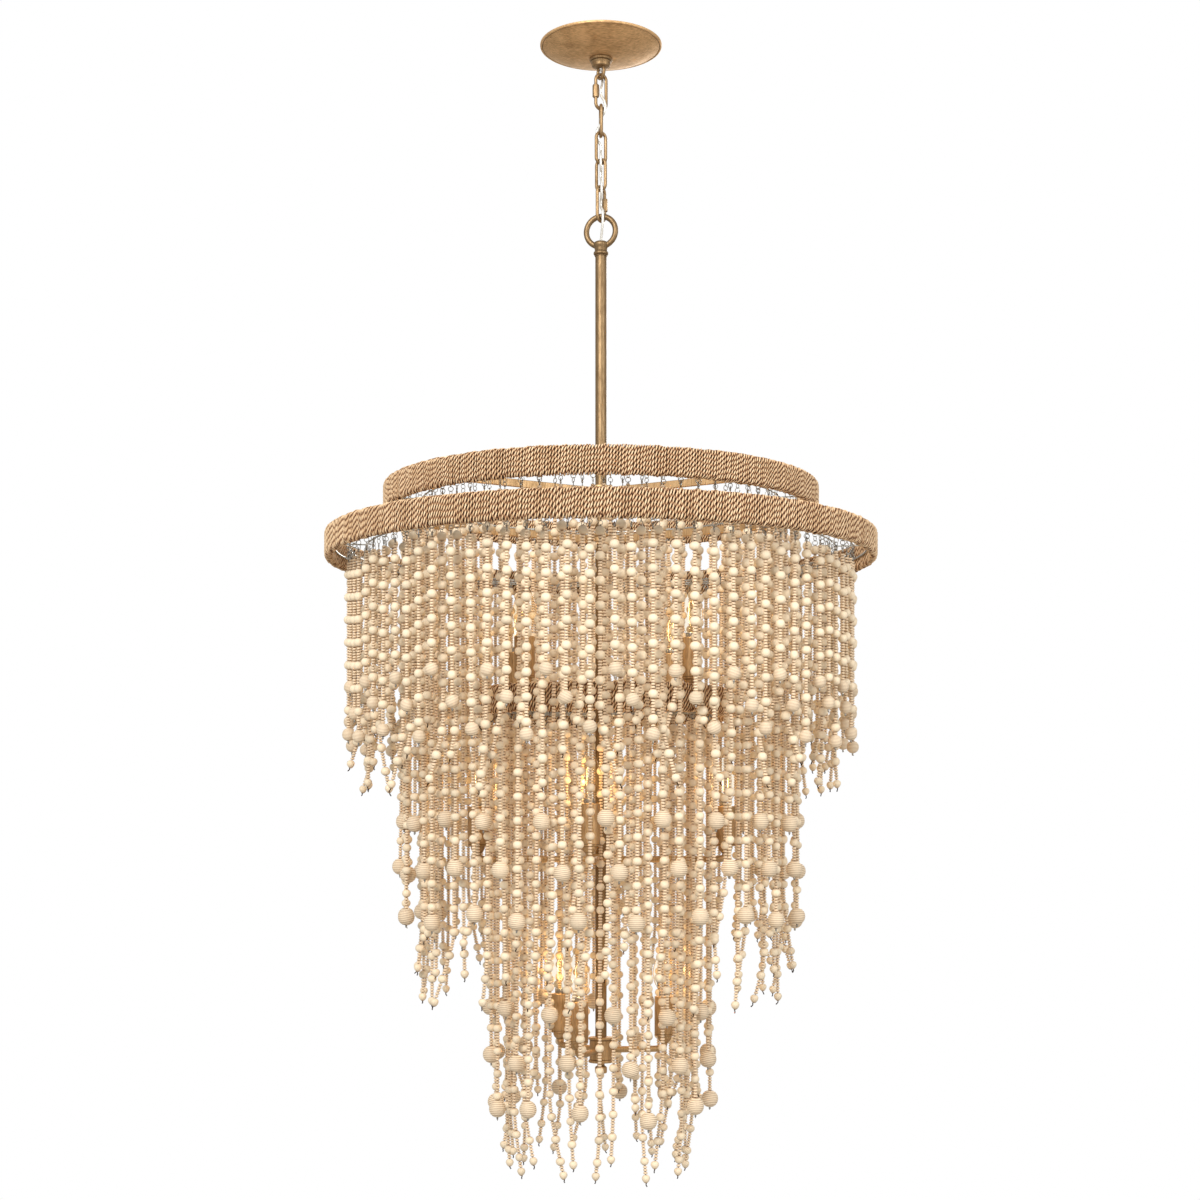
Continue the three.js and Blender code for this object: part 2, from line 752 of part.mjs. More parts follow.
const lowerCurtainHem = -lowerHoopDrop - bandHeight - lowerOuterDrop;
const upperCurtainHem = -upperHoopDrop - bandHeight - upperOuterDrop;
const tiers = [
  {
    name: 'lower_hoop_strands', hoopDrop: lowerHoopDrop, hoopRadius: lowerHoopRadius,
    rowRadius: lowerRowRadius, outerCount: 4, innerCount: 2, outerDrop: lowerOuterDrop,
    stagger: lowerStagger, staggerShares: lowerStaggerShares,
    tipDrop: lowerTipDrop, tipStagger: lowerTipStagger,
    largeRadius: lowerLargeBeadRadius, beadsBelow: 0,
  },
  {
    name: 'upper_hoop_strands', hoopDrop: upperHoopDrop, hoopRadius: upperHoopRadius,
    rowRadius: upperRowRadius, outerCount: 3, innerCount: 2, outerDrop: upperOuterDrop,
    stagger: upperStagger, staggerShares: upperStaggerShares,
    tipDrop: upperTipDrop, tipStagger: upperTipStagger,
    largeRadius: upperLargeBeadRadius, beadsBelow: lowerCurtainHem + beadPitch,
  },
  {
    name: 'inner_hoop_strands', hoopDrop: innerHoopDrop, hoopRadius: innerHoopRadius,
    rowRadius: innerRowRadius, outerCount: 3, innerCount: 1, outerDrop: innerOuterDrop,
    stagger: innerStagger, staggerShares: innerStaggerShares,
    tipDrop: innerTipDrop, tipStagger: innerTipStagger,
    largeRadius: innerLargeBeadRadius, beadsBelow: upperCurtainHem + beadPitch,
  },
];

// Canopy and chain
addPiece('ceiling_bracket', ceilingBracket(), steel);
addPiece('canopy', canopy(), brass);
addPiece('canopy_collar', canopyCollar(), brass);
addPiece('canopy_loop', canopyLoop(), brass);
addPiece('quick_link_top', chainPiece(0, quickLinkGap), brass);
addPiece('quick_link_top_sleeve', quickLinkSleeve(0), brass);
addPiece('chain_link_1', chainPiece(1), brass);
addPiece('chain_link_2', chainPiece(2), brass);
addPiece('chain_link_3', chainPiece(3), brass);
addPiece('quick_link_bottom', chainPiece(4, quickLinkGap), brass);
addPiece('quick_link_bottom_sleeve', quickLinkSleeve(4), brass);
for (let hook = 0; hook < hooks.length; hook += 1) {
  addPiece(`supply_cord_${hook + 1}`, supplyCord(hook), clearCord);
}

// Stem, hoops and their spokes
addPiece('stem_loop', stemLoop(), brass);
addPiece('stem', stem(), brass);
addPiece('upper_rope_hoop', ropeHoop(upperHoopRadius, upperHoopDrop), rope);
addPiece('lower_rope_hoop', ropeHoop(lowerHoopRadius, lowerHoopDrop), rope);
addPiece('inner_rope_hoop', ropeHoop(innerHoopRadius, innerHoopDrop), rope);
addPiece('upper_hoop_spokes', hoopSpokes(upperHoopRadius, upperHoopDrop), brass);
addPiece('lower_hoop_spokes', hoopSpokes(lowerHoopRadius, lowerHoopDrop), brass);

// Lamps
addPiece('inner_hoop_frame', innerHoopFrame(), brass);
addPiece('middle_lamp_arms', middleArms(), brass);
addPiece('lower_lamp_arms', lowerArms(), brass);
addPiece('finial', finial(), brass);
const elbowLift = armElbowRadius + fuseDepth - armRadius;
const lampSets = [
  { level: 'upper', bearings: upperLampBearings, radius: upperLampRadius,
    top: sleeveTop(innerHoopDrop + spokeInset + armRadius) },
  { level: 'middle', bearings: middleLampBearings, radius: middleLampRadius,
    top: sleeveTop(middleArmDrop) + elbowLift },
  { level: 'lower', bearings: lowerLampBearings, radius: lowerLampRadius,
    top: sleeveTop(lowerArmDrop) + elbowLift },
];
for (const { level, bearings, radius, top } of lampSets) {
  bearings.forEach((bearing, i) => {
    const mesh = addPiece(`bulb_${level}_${i + 1}`, bulb(top), warmGlass);
    mesh.position.copy(placed(radius, bearing, 0));
    mesh.rotation.z = radians(bearing - 90);
  });
}

// Bead curtains in sixths
for (const tier of tiers) {
  for (let sector = 0; sector < sectorCount; sector += 1) {
    const mesh = addPiece(`${tier.name}_${sector + 1}`, curtain(tier), wood);
    mesh.rotation.z = radians((360 / sectorCount) * sector);
  }
}

export default chandelier;
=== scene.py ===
"""Beaded chandelier: rope-wound hoops with wooden bead strands round candle lamps, on a chain.

Metres, +Z up, origin at the middle of the ceiling face, -Y towards the viewer. Bearings are in
degrees from the front (-Y) towards the right (+X).
"""

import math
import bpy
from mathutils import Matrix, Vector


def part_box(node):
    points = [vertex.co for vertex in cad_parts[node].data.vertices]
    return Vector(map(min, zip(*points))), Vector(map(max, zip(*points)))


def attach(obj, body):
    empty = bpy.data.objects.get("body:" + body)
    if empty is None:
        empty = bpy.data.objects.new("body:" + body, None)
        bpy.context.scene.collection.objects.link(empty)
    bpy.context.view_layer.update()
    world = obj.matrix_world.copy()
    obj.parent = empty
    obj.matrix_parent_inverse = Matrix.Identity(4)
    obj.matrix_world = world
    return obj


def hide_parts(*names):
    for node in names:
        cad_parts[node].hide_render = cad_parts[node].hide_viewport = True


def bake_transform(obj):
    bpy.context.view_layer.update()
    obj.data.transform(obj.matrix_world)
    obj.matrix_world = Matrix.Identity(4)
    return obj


bl_info = {
    "name": "Beaded Chandelier",
    "version": (1, 0, 0),
    "blender": (4, 5, 0),
    "location": "View3D > Sidebar > Chandelier",
    "description": "Builds a chandelier of rope-wound hoops and wooden bead strands on a chain",
    "category": "Add Mesh",
}

import bpy
import numpy as np
from bpy.props import FloatProperty, FloatVectorProperty, IntProperty, PointerProperty
from mathutils import Vector

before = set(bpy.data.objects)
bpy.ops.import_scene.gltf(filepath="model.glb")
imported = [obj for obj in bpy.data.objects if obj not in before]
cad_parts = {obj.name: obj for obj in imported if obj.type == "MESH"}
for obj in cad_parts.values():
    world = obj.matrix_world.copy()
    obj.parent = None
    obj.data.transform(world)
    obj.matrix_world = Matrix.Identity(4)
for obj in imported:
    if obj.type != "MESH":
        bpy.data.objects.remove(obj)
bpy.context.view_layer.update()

MM = 0.001
FIXTURE = "fixture"


def colour(text):
    """sRGB hex to linear red, green and blue."""
    parts = [int(text[i : i + 2], 16) / 255 for i in (1, 3, 5)]
    return tuple(c / 12.92 if c <= 0.04045 else ((c + 0.055) / 1.055) ** 2.4 for c in parts)


def size_of(name):
    """Outer radius, foot and top of a round CAD node about the stem."""
    low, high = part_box(name)
    return high.x, low.z, high.z


# Places that the solids give
CANOPY = size_of("canopy")
HOOPS = {tier: size_of(f"{tier}_rope_hoop") for tier in ("upper", "lower", "inner")}

# Hooks of the chain, from the canopy's loop to the stem's ring
CANOPY_FACE = CANOPY[1]
SEAT_GAP = 0.3 * MM
COLLAR_TOP = CANOPY_FACE - SEAT_GAP
COLLAR_FOOT = COLLAR_TOP - 12 * MM
SHANK_FOOT = COLLAR_FOOT - 1.2 * MM
LOOP_INNER = 6.5 * MM
LOOP_MIDDLE = SHANK_FOOT - LOOP_INNER
HOOK_GAP = 0.5 * MM
STEM_RING_INNER = 18 * MM
BEARINGS = [-60, 205, 95, 30, -35, 50, -15]
# Side on which the cord passes each hook
WAYS = [-1, -1, 1, -1, 1, -1]
CHAIN_BODIES = [
    "ceiling_mount", "top_quick_link", "link_1", "link_2", "link_3", "bottom_quick_link", FIXTURE,
]
CORD_TOP_GAP = 0.8 * MM
CORD_STRAIGHT = 4 * MM
CORD_POCKET = 8 * MM
SLEEVE_FOOT_COVER = 0.6 * MM
QUICK_GAP = 6.2 * MM
LEG_STEPS = 60
THREAD_LENGTH = 17 * MM
THREAD_DEPTH = 0.12 * MM
THREAD_PITCH = 1 * MM
CORD_SIDE_GAP = 0.75 * MM
COUPLING_RISE = 3 * MM
STEM_WALL = 1.8 * MM
HUB_RADIUS = 16 * MM
HUB_BORE = 8.7 * MM

# Hoops, hanger frames and rows of strands
FLANGE_RISE = 4 * MM
FLANGE_THICKNESS = 2.2 * MM
FRAME_ABOVE = 12.5 * MM
RING_PITCH = 6 * MM
RING_COUNT = 3
TIE_COUNT = 18
ROW_SPACING = 25 * MM
SECTORS = 6
HOOP_ARCS = 3
TWIST_STEPS = 8
ROPE_SIDES = 8

# Beads: half a length as a share of the diameter or the radius, half-sections in shares or
# in mm, and the places of the finishes on a piece of strands
MEDIUM_HALF = 0.49
LARGE_HALF = 0.98
GROOVES = 9
MEDIUM_BEAD = [
    (0.22, -0.98), (0.5, -0.88), (0.8, -0.6), (0.96, -0.3), (1, 0),
    (0.96, 0.3), (0.8, 0.6), (0.5, 0.88), (0.22, 0.98),
]
SMALL_BEAD = [(0.3, -0.97), (0.7, -0.78), (1, -0.26), (1, 0.26), (0.7, 0.78), (0.3, 0.97)]
CONE = [(0.8, -6.4), (2.4, -5.6), (4.4, -3.4), (5.7, -0.6), (5.8, 1.4), (4.8, 3.8), (2.8, 5.3), (0.8, 5.7)]
# Painted shade at both ends of the cone, where it meets the string and the bead
CONE_SHADE = [1, 0.5, 0.1, 0, 0, 0, 0.1, 1]
CONE_ROOM = 17 * MM
PALE, TAN, SILVER, DARK = range(4)

# Lamps and the stage
CUP_HEIGHT = 10 * MM
ELBOW = 9 * MM
FLOOR_HEIGHT = -3.45
LIT_PLACE = (0.15, 0, -0.6)
SPOKE_BEARINGS = [60, 180, 300]
LAMPS = {
    "upper": {"bearings": [50, 140, 230, 320], "radius": 168 * MM},
    "middle": {"bearings": [-5, 85, 175, 265], "radius": 184 * MM},
    "lower": {"bearings": [-20, 100, 220], "radius": 96 * MM},
}


# Sizes and colours that a user may change


def length(name, description, mm):
    """A length that a user may change, given in mm."""
    return FloatProperty(name=name, description=description, default=mm * MM, unit="LENGTH")


def whole(name, description, default, **limits):
    """A whole number that a user may change."""
    return IntProperty(name=name, description=description, default=default, **limits)


def tone(name, description, text):
    """A colour that a user may change, given as sRGB hex."""
    return FloatVectorProperty(
        name=name, description=description, default=colour(text), subtype="COLOR", size=3
    )


class ChainSizes(bpy.types.PropertyGroup):
    """Canopy, chain and stem"""

    link_wire: length("Link wire", "Wire of the plain links", 4.8)
    link_length: length("Link length", "Inner length of a plain link", 40.6)
    link_width: length("Link width", "Inner width of a plain link", 11.1)
    quick_wire: length("Quick link wire", "Wire of the quick links", 4.9)
    quick_length: length("Quick link length", "Inner length of a quick link", 46.2)
    quick_width: length("Quick link width", "Inner width of a quick link", 11.8)
    loop_wire: length("Loop wire", "Wire of the canopy's loop", 4.8)
    ring_wire: length("Ring wire", "Thickness of the stem's ring", 8.3)
    sleeve_length: length("Sleeve length", "Length of a quick link's nut", 18.5)
    sleeve_flats: length("Sleeve flats", "Width of that nut across its flats", 8.6)
    cord: length("Supply cord", "Diameter of the supply cord", 4)
    stem: length("Stem radius", "Outer radius of the stem", 8.4)


class HoopSizes(bpy.types.PropertyGroup):
    """Rope-wound hoops"""

    thickness: length("Thickness", "Hoop with its winding, across", 13)
    rope: length("Rope", "Diameter of the two-ply rope", 4.1)
    turn_pitch: length("Turn pitch", "From one turn of the winding to the next", 4.0)
    upper_twists: whole("Twists, upper", "Full twists of the rope in one turn of the upper hoop", 6, min=1)
    lower_twists: whole("Twists, others", "Full twists of the rope in one turn of the other hoops", 5, min=1)


class BeadSizes(bpy.types.PropertyGroup):
    """Bead strands"""

    medium: length("Medium bead", "Diameter of the pale beads", 13.2)
    small: length("Small bead", "Diameter of the small beads", 5.9)
    pitch: length("Pitch", "From one pale bead to the next", 32.6)
    small_count: whole("Small beads", "Small beads between two pale ones", 5, min=1, max=12)
    seed: whole("Seed", "Seed of the small differences", 7, min=0)


class LampSizes(bpy.types.PropertyGroup):
    """Candle lamps and their arms"""

    sleeve: length("Sleeve", "Diameter of a candle sleeve", 29.6)
    sleeve_height: length("Sleeve height", "Height of a candle sleeve", 59)
    arm: length("Arm", "Diameter of the arms", 9.5)
    bulb: length("Bulb", "Diameter of a bulb", 35)
    bulb_height: length("Bulb height", "Collar and glass of a bulb", 84)
    glow: FloatProperty(
        name="Glow", description="Light of one bulb, in watts", default=0.16, min=0, unit="POWER"
    )


class FinishColours(bpy.types.PropertyGroup):
    """Colours of the finishes"""

    brass: tone("Brass", "Aged brass plate", "#C4A47A")
    brass_shade: tone("Brass shade", "Darker brushed-in tone", "#9A7B55")
    # The rope colour carries the painted highlight on the crowns, and the rope shade is painted shade between
    # the plies
    rope: tone("Rope", "Crown of the rope's plies", "#E9CEA9")
    rope_shade: tone("Rope shade", "Between the plies", "#75482A")
    pale_wood: tone("Pale wood", "Bleached wood of the larger beads", "#EFDDC0")
    tan_wood: tone("Tan wood", "Natural wood of the small beads", "#EFD8B8")
    glow: tone("Lamp light", "Colour of the filaments", "#FFD9A0")


# Mesh helpers


def profile(base, *points):
    """Outline from (radius, height above the base) points that are given in mm."""
    return [(r * MM, base + z * MM) for r, z in points]


def turn(outline, sides):
    """Turns an outline of (radius, height) points about Z. Returns points and quads."""
    angles = np.arange(sides) * (2 * math.pi / sides)
    r, z = np.array(outline, float).T
    x, y = np.outer(r, np.cos(angles)), np.outer(r, np.sin(angles))
    points = np.stack([x, y, np.repeat(z[:, None], sides, 1)], 2)
    return points.reshape(-1, 3), grid_faces(len(outline), sides)


def grid_faces(rows, sides, wrap=False):
    """Quads of a tube whose rows of points each close on themselves."""
    k = np.arange(sides)
    n = (k + 1) % sides
    steps = rows if wrap else rows - 1
    here = np.arange(steps)[:, None] * sides
    there = ((np.arange(steps)[:, None] + 1) % rows) * sides
    return np.stack([here + k, here + n, there + n, there + k], 2).reshape(-1, 4)


def smooth_outline(points, steps):
    """Points on a smooth curve through the given ones."""
    p = np.array([points[0], *points, points[-1]], float)
    t = np.linspace(0, 1, steps, endpoint=False)[:, None]
    found = []
    for a, b, c, d in zip(p, p[1:], p[2:], p[3:], strict=False):
        found.append(
            0.5 * (2 * b + (c - a) * t + (2 * a - 5 * b + 4 * c - d) * t**2 + (3 * b - a - 3 * c + d) * t**3)
        )
    return np.concatenate([*found, p[-1:]])


def eased(outline, radius, steps=3):
    """An outline with every corner inside it rounded."""
    p = np.array(outline, float)
    t = np.linspace(0, 1, steps + 1)[:, None]
    found = [p[:1]]
    for before, corner, after in zip(p, p[1:], p[2:], strict=False):
        back, on = before - corner, after - corner
        reach = min(radius, min(np.linalg.norm(back), np.linalg.norm(on)) * 0.45)
        a = corner + back / np.linalg.norm(back) * reach
        b = corner + on / np.linalg.norm(on) * reach
        found.append((1 - t) ** 2 * a + 2 * t * (1 - t) * corner + t**2 * b)
    return np.concatenate([*found, p[-1:]])


def sweep(path, radius, sides, closed=False, normal=(0.31, 0.95, 0.02)):
    """Round tube along a path of points. radius is a number or one for each point."""
    path = np.array(path, float)
    count = len(path)
    radius = np.broadcast_to(np.asarray(radius, float), (count,))[:, None, None]
    if closed:
        ways = np.roll(path, -1, 0) - np.roll(path, 1, 0)
    else:
        ways = np.gradient(path, axis=0)
    ways /= np.linalg.norm(ways, axis=1)[:, None]
    side = np.array(normal, float)
    frames = []
    for way in ways:
        side = side - way * side.dot(way)
        side /= np.linalg.norm(side)
        frames.append(side)
    frames = np.array(frames)
    other = np.cross(ways, frames)
    k = np.arange(sides)
    angles = k[:, None] * (2 * math.pi / sides)
    across = radius * np.cos(angles) * frames[:, None] + radius * np.sin(angles) * other[:, None]
    points = (path[:, None] + across).reshape(-1, 3)
    faces = [grid_faces(count, sides, closed)]
    if not closed:
        points = np.concatenate([points, path[:1], path[-1:]])
        n = (k + 1) % sides
        first, base = count * sides, (count - 1) * sides
        faces.append(np.stack([np.full(sides, first), n, k], 1))
        faces.append(np.stack([np.full(sides, first + 1), base + k, base + n], 1))
    return points, faces


def wire_ring(radius, wire, steps, sides):
    """Ring of round wire that stands in the XZ plane."""
    a = np.linspace(0, 2 * math.pi, steps, endpoint=False)
    return sweep(np.stack([radius * np.cos(a), 0 * a, radius * np.sin(a)], 1), wire, sides, True, (0, 1, 0))


def turned_with_hollow_shade(outline, sides):
    """A turned brass part, with painted shade in the hollows of its outline."""
    p = np.array(outline, float)
    before, after = np.diff(p, axis=0)[:-1], np.diff(p, axis=0)[1:]
    bent = before[:, 0] * after[:, 1] - before[:, 1] * after[:, 0]
    bent /= np.maximum(np.linalg.norm(before, axis=1) * np.linalg.norm(after, axis=1), 1e-12)
    ring = np.roll(p, -1, 0)
    way = math.copysign(1, (p[:, 0] * ring[:, 1] - ring[:, 0] * p[:, 1]).sum())
    hollow = np.concatenate([[0], np.clip(-bent * way * 2.5, 0, 1), [0]])
    # The painted shade ends a little way out of each hollow
    reach = 1.1 * MM
    points, shades = [p[0]], [hollow[0]]
    for a, b, shade in zip(p, p[1:], hollow[1:], strict=False):
        length = np.linalg.norm(b - a)
        if length > 3 * reach:
            points += [a + (b - a) * reach / length, b - (b - a) * reach / length]
            shades += [0, 0]
        points.append(b)
        shades.append(shade)
    return (*turn(points, sides), 0, {"wax": np.repeat(shades, sides)})


def moved(part, place=(0, 0, 0), bearing=None):
    """A part turned from +X to a bearing and then moved."""
    points, faces, *rest = part
    points = np.array(points, float)
    if bearing is not None:
        angle = math.radians(bearing - 90)
        c, s = math.cos(angle), math.sin(angle)
        points = points @ np.array([[c, s, 0], [-s, c, 0], [0, 0, 1]])
    return (points + np.array(place, float), faces, *rest)


def turned_to(part, degrees):
    """A part turned about Z."""
    return moved(part, bearing=degrees + 90)


def at(radius, bearing, height):
    """Point at a radius and bearing about the stem."""
    a = math.radians(bearing)
    return np.array([radius * math.sin(a), -radius * math.cos(a), height])


def copies(part, places, scales=None, tilts=None):
    """One part at many places, scaled and leaned, as one. Returns points and faces."""
    points, faces = part
    places = np.array(places, float)
    count, each = len(places), len(points)
    grown = np.repeat(points[None], count, 0)
    if scales is not None:
        grown = grown * np.array(scales, float)[:, None, :]
    if tilts is not None:
        lean = np.array(tilts, float)
        grown[:, :, 0] += grown[:, :, 2] * lean[:, None, 0]
        grown[:, :, 1] += grown[:, :, 2] * lean[:, None, 1]
        grown[:, :, 2] -= grown[:, :, 0] * lean[:, None, 0] + grown[:, :, 1] * lean[:, None, 1]
    grown = (grown + places[:, None]).reshape(-1, 3)
    shift = (np.arange(count) * each)[:, None, None]
    if not isinstance(faces, list):
        faces = [faces]
    return grown, [(f[None] + shift).reshape(-1, f.shape[1]) for f in faces]


def new_piece(name, parts, finishes, body=FIXTURE, replaces=(), sharp=32):
    """One object from parts, each (points, faces, finish index, {attribute: values})."""
    points, corners, starts, kinds, attributes = [], [], [], [], {}
    offset = loops = 0
    for part in parts:
        co, faces, kind, values = (*part, *(0, {})[len(part) - 2 :])
        for face in faces if isinstance(faces, list) else [faces]:
            corners.append((face + offset).ravel())
            starts.append(loops + np.arange(len(face)) * face.shape[1])
            loops += face.size
            kinds.append(np.full(len(face), kind))
        for key, value in values.items():
            attributes.setdefault(key, []).append((offset, np.broadcast_to(value, (len(co),))))
        points.append(co)
        offset += len(co)
    mesh = bpy.data.meshes.new(name)
    mesh.vertices.add(offset)
    mesh.vertices.foreach_set("co", np.concatenate(points).astype(np.float32).ravel())
    mesh.loops.add(loops)
    mesh.loops.foreach_set("vertex_index", np.concatenate(corners).astype(np.int32))
    starts = np.concatenate(starts).astype(np.int32)
    mesh.polygons.add(len(starts))
    mesh.polygons.foreach_set("loop_start", starts)
    for finish in finishes:
        mesh.materials.append(finish)
    mesh.polygons.foreach_set("material_index", np.concatenate(kinds).astype(np.int32))
    mesh.update(calc_edges=True)
    for key, runs in attributes.items():
        whole = np.zeros(offset, np.float32)
        for start, values in runs:
            whole[start : start + len(values)] = values
        mesh.attributes.new(key, "FLOAT", "POINT").data.foreach_set("value", whole)
    mesh.shade_smooth()
    if sharp:
        mesh.set_sharp_from_angle(angle=math.radians(sharp))
    piece = bpy.data.objects.new(name, mesh)
    bpy.context.scene.collection.objects.link(piece)
    if body:
        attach(piece, body)
    if replaces:
        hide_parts(*replaces)
    return piece


# Finishes


def fill(tree, made, settings=None, links=None):
    """Sets a node's properties and sockets, and links other nodes to it. A number picks a
    socket by its place, stops are those of a colour ramp, and a node gives its first output."""
    for key, value in (settings or {}).items():
        if key == "stops":
            elements = made.color_ramp.elements
            while len(elements) < len(value):
                elements.new(0.5)
            for element, (place, linear) in zip(elements, value, strict=True):
                element.position = place
                element.color = (*linear, 1)
        elif hasattr(made, key):
            setattr(made, key, value)
        else:
            made.inputs[int(key) if key.isdigit() else key].default_value = value
    for key, source in (links or {}).items():
        output = source.outputs[0] if hasattr(source, "outputs") else source
        tree.links.new(output, made.inputs[int(key) if key.isdigit() else key])
    return made


def node(tree, kind, settings=None, links=None):
    """Adds a shader node with its settings and links."""
    return fill(tree, tree.nodes.new("ShaderNode" + kind), settings, links)


def finish(name, *attributes):
    """A new material. Returns it, its tree, its Principled surface, object coordinates and
    the values of the attributes that are named."""
    material = bpy.data.materials.new(name)
    material.use_nodes = True
    tree = material.node_tree
    place = node(tree, "TexCoord").outputs["Object"]
    values = [node(tree, "Attribute", {"attribute_name": key}).outputs["Fac"] for key in attributes]
    return material, tree, tree.nodes["Principled BSDF"], place, *values


def weighed(tree, first, share, second):
    """A share of one value with the rest of another."""
    rest = node(tree, "Math", {"operation": "MULTIPLY", "1": 1 - share}, {"0": second})
    return node(tree, "Math", {"operation": "MULTIPLY_ADD", "1": share}, {"0": first, "2": rest})


def shaded(linear, share):
    """A linear colour at a share of its brightness."""
    return tuple(c * share for c in linear)


def brushed_brass(name, colours, stretch, share, dull=0.0):
    """Brass plate, aged and brushed by hand: long fine strokes along the work, with painted
    shade in the hollows, so highlights run out sideways into a soft satin."""
    material, tree, surface, place, wax = finish(name, "wax")
    along = node(tree, "Mapping", {"Scale": stretch}, {"Vector": place})
    # A brush stroke is about 0.4 mm wide. It is drawn at 1.5 mm so that it shows.
    stroke = node(tree, "TexNoise", {"Scale": 650, "Detail": 4, "Roughness": 0.6}, {"Vector": along})
    # Patina comes and goes over 26 mm or so
    patina = node(tree, "TexNoise", {"Scale": 38, "Detail": 3}, {"Vector": place})
    mixed = weighed(tree, stroke, 0.68, patina)
    # The share makes this a lit or shaded copy of one brass: above 1 it is painted light, below 1 painted
    # shade
    stops = [(0.36, shaded(colours.brass_shade, share)), (0.58, shaded(colours.brass, share))]
    tones = node(tree, "ValToRGB", {"stops": stops}, {"Fac": mixed})
    # Painted shade: the hollows of a turned part are drawn much darker
    hollow_shade_tone = (*shaded(colours.brass_shade, 0.22), 1)
    hollow_shaded = node(tree, "Mix", {"data_type": "RGBA", "7": hollow_shade_tone}, {"Factor": wax, "6": tones})
    span = {"To Min": 0.58 + dull, "To Max": 0.44 + dull, "From Min": 0.3, "From Max": 0.7}
    rough = node(tree, "MapRange", span, {"Value": mixed})
    bump = node(tree, "Bump", {"Strength": 0.18, "Distance": 0.1 * MM}, {"Height": stroke})
    links = {"Base Color": hollow_shaded.outputs[2], "Roughness": rough, "Normal": bump}
    fill(tree, surface, {"Metallic": 0.85}, links)
    return material


def twisted_rope(colours):
    """Seagrass rope, dried and twisted in two plies: a painted highlight on the crowns, painted shade
    in the seams between plies and turns, and blades that differ in colour from turn to turn."""
    material, tree, surface, place, cosine, lot = finish("twisted_seagrass_rope", "cosine", "lot")
    # The cosine of the twist is 1 on one ply's crown and -1 on the other's: zero is the seam.
    crown = node(tree, "Math", {"operation": "ABSOLUTE"}, {"0": cosine})
    # Dried grass blades are 1 to 2 mm wide, with colour that drifts over 20 mm or so.
    blade = node(tree, "TexNoise", {"Scale": 480, "Detail": 3, "Roughness": 0.65}, {"Vector": place})
    drift = node(tree, "TexNoise", {"Scale": 60, "Detail": 2}, {"Vector": place})
    grain = node(tree, "Math", {"operation": "MULTIPLY_ADD", "1": 0.34, "2": -0.17}, {"0": blade})
    height = node(tree, "Math", {"operation": "ADD"}, {"0": crown, "1": grain})
    shade = colours.rope_shade
    # Painted highlight on the crowns and painted shade in the seams: the colour runs from dark to pale as the
    # crown value rises
    stops = [(0.12, shaded(shade, 0.35)), (0.36, shade), (0.56, colour("#C1956A")), (0.82, colours.rope)]
    tones = node(tree, "ValToRGB", {"stops": stops}, {"Fac": height})
    stops = [(0.3, (0.72, 0.62, 0.52)), (0.7, (1.0, 1.0, 1.0))]
    aged = node(tree, "ValToRGB", {"stops": stops}, {"Fac": weighed(tree, lot, 0.5, drift)})
    settings = {"data_type": "RGBA", "blend_type": "MULTIPLY", "0": 0.8}
    drifted = node(tree, "Mix", settings, {"6": tones, "7": aged})
    bump = node(tree, "Bump", {"Strength": 0.5, "Distance": 0.4 * MM}, {"Height": blade})
    fill(tree, surface, {"Roughness": 0.8}, {"Base Color": drifted.outputs[2], "Normal": bump})
    return material


def turned_wood(name, light, dark, grain_scale):
    """Hardwood turned into beads, left unvarnished: matt faces with short grain lines, painted shade
    round each string hole where beads meet, and every bead a little lighter or darker."""
    material, tree, surface, place, lot, rim = finish(name, "lot", "rim")
    # Each bead's grain comes from another part of the pattern. Its lines are about 2 mm apart,
    # coarser than real ones so that they show, and three times as fine along the string.
    shifted = node(tree, "CombineXYZ", links={"X": lot, "Y": lot})
    spread = node(tree, "VectorMath", {"operation": "ADD"}, {"0": place, "1": shifted})
    along = node(tree, "Mapping", {"Scale": (1, 1, 3)}, {"Vector": spread})
    settings = {"Scale": grain_scale, "Detail": 3, "Roughness": 0.6}
    grain = node(tree, "TexNoise", settings, {"Vector": along})
    stops = [(0.08, dark), (0.62, light)]
    tones = node(tree, "ValToRGB", {"stops": stops}, {"Fac": weighed(tree, grain, 0.4, lot)})
    # Painted shade, a dark reddish brown, where the rim attribute is set: at the holes and in the grooves
    settings = {"data_type": "RGBA", "blend_type": "MULTIPLY", "7": (0.3, 0.145, 0.065, 1)}
    rim_shaded = node(tree, "Mix", settings, {"Factor": rim, "6": tones})
    bump = node(tree, "Bump", {"Strength": 0.25, "Distance": 0.15 * MM}, {"Height": grain})
    fill(tree, surface, {"Roughness": 0.6}, {"Base Color": rim_shaded.outputs[2], "Normal": bump})
    return material


def drawn_wire(name, light, dark, roughness):
    """Wire drawn through a die: faint scratches in a bright metal, so it glints in points."""
    material, tree, surface, place = finish(name)
    # Die scratches are drawn 0.7 mm wide so that they show.
    scratch = node(tree, "TexNoise", {"Scale": 1400, "Detail": 2}, {"Vector": place})
    stops = [(0.35, colour(dark)), (0.65, colour(light))]
    tones = node(tree, "ValToRGB", {"stops": stops}, {"Fac": scratch})
    fill(tree, surface, {"Metallic": 1, "Roughness": roughness}, {"Base Color": tones})
    return material


def clear_cord_finish():
    """Clear PVC cord, extruded over a tinned copper braid: silver with fine crossed threads
    under a glossy skin."""
    material, tree, surface, place = finish("extruded_clear_pvc_over_braid")
    # Braid threads cross every 1.1 mm.
    braid = node(tree, "TexVoronoi", {"Scale": 900}, {"Vector": place})
    stops = [(0.15, colour("#F4F3EF")), (0.75, colour("#BDBBB3"))]
    tones = node(tree, "ValToRGB", {"stops": stops}, {"Fac": braid})
    bump = node(tree, "Bump", {"Strength": 0.3, "Distance": 0.2 * MM}, {"Height": braid})
    settings = {"Metallic": 0.35, "Roughness": 0.4, "Coat Weight": 0.8, "Coat Roughness": 0.08}
    fill(tree, surface, settings, {"Base Color": tones, "Normal": bump})
    return material


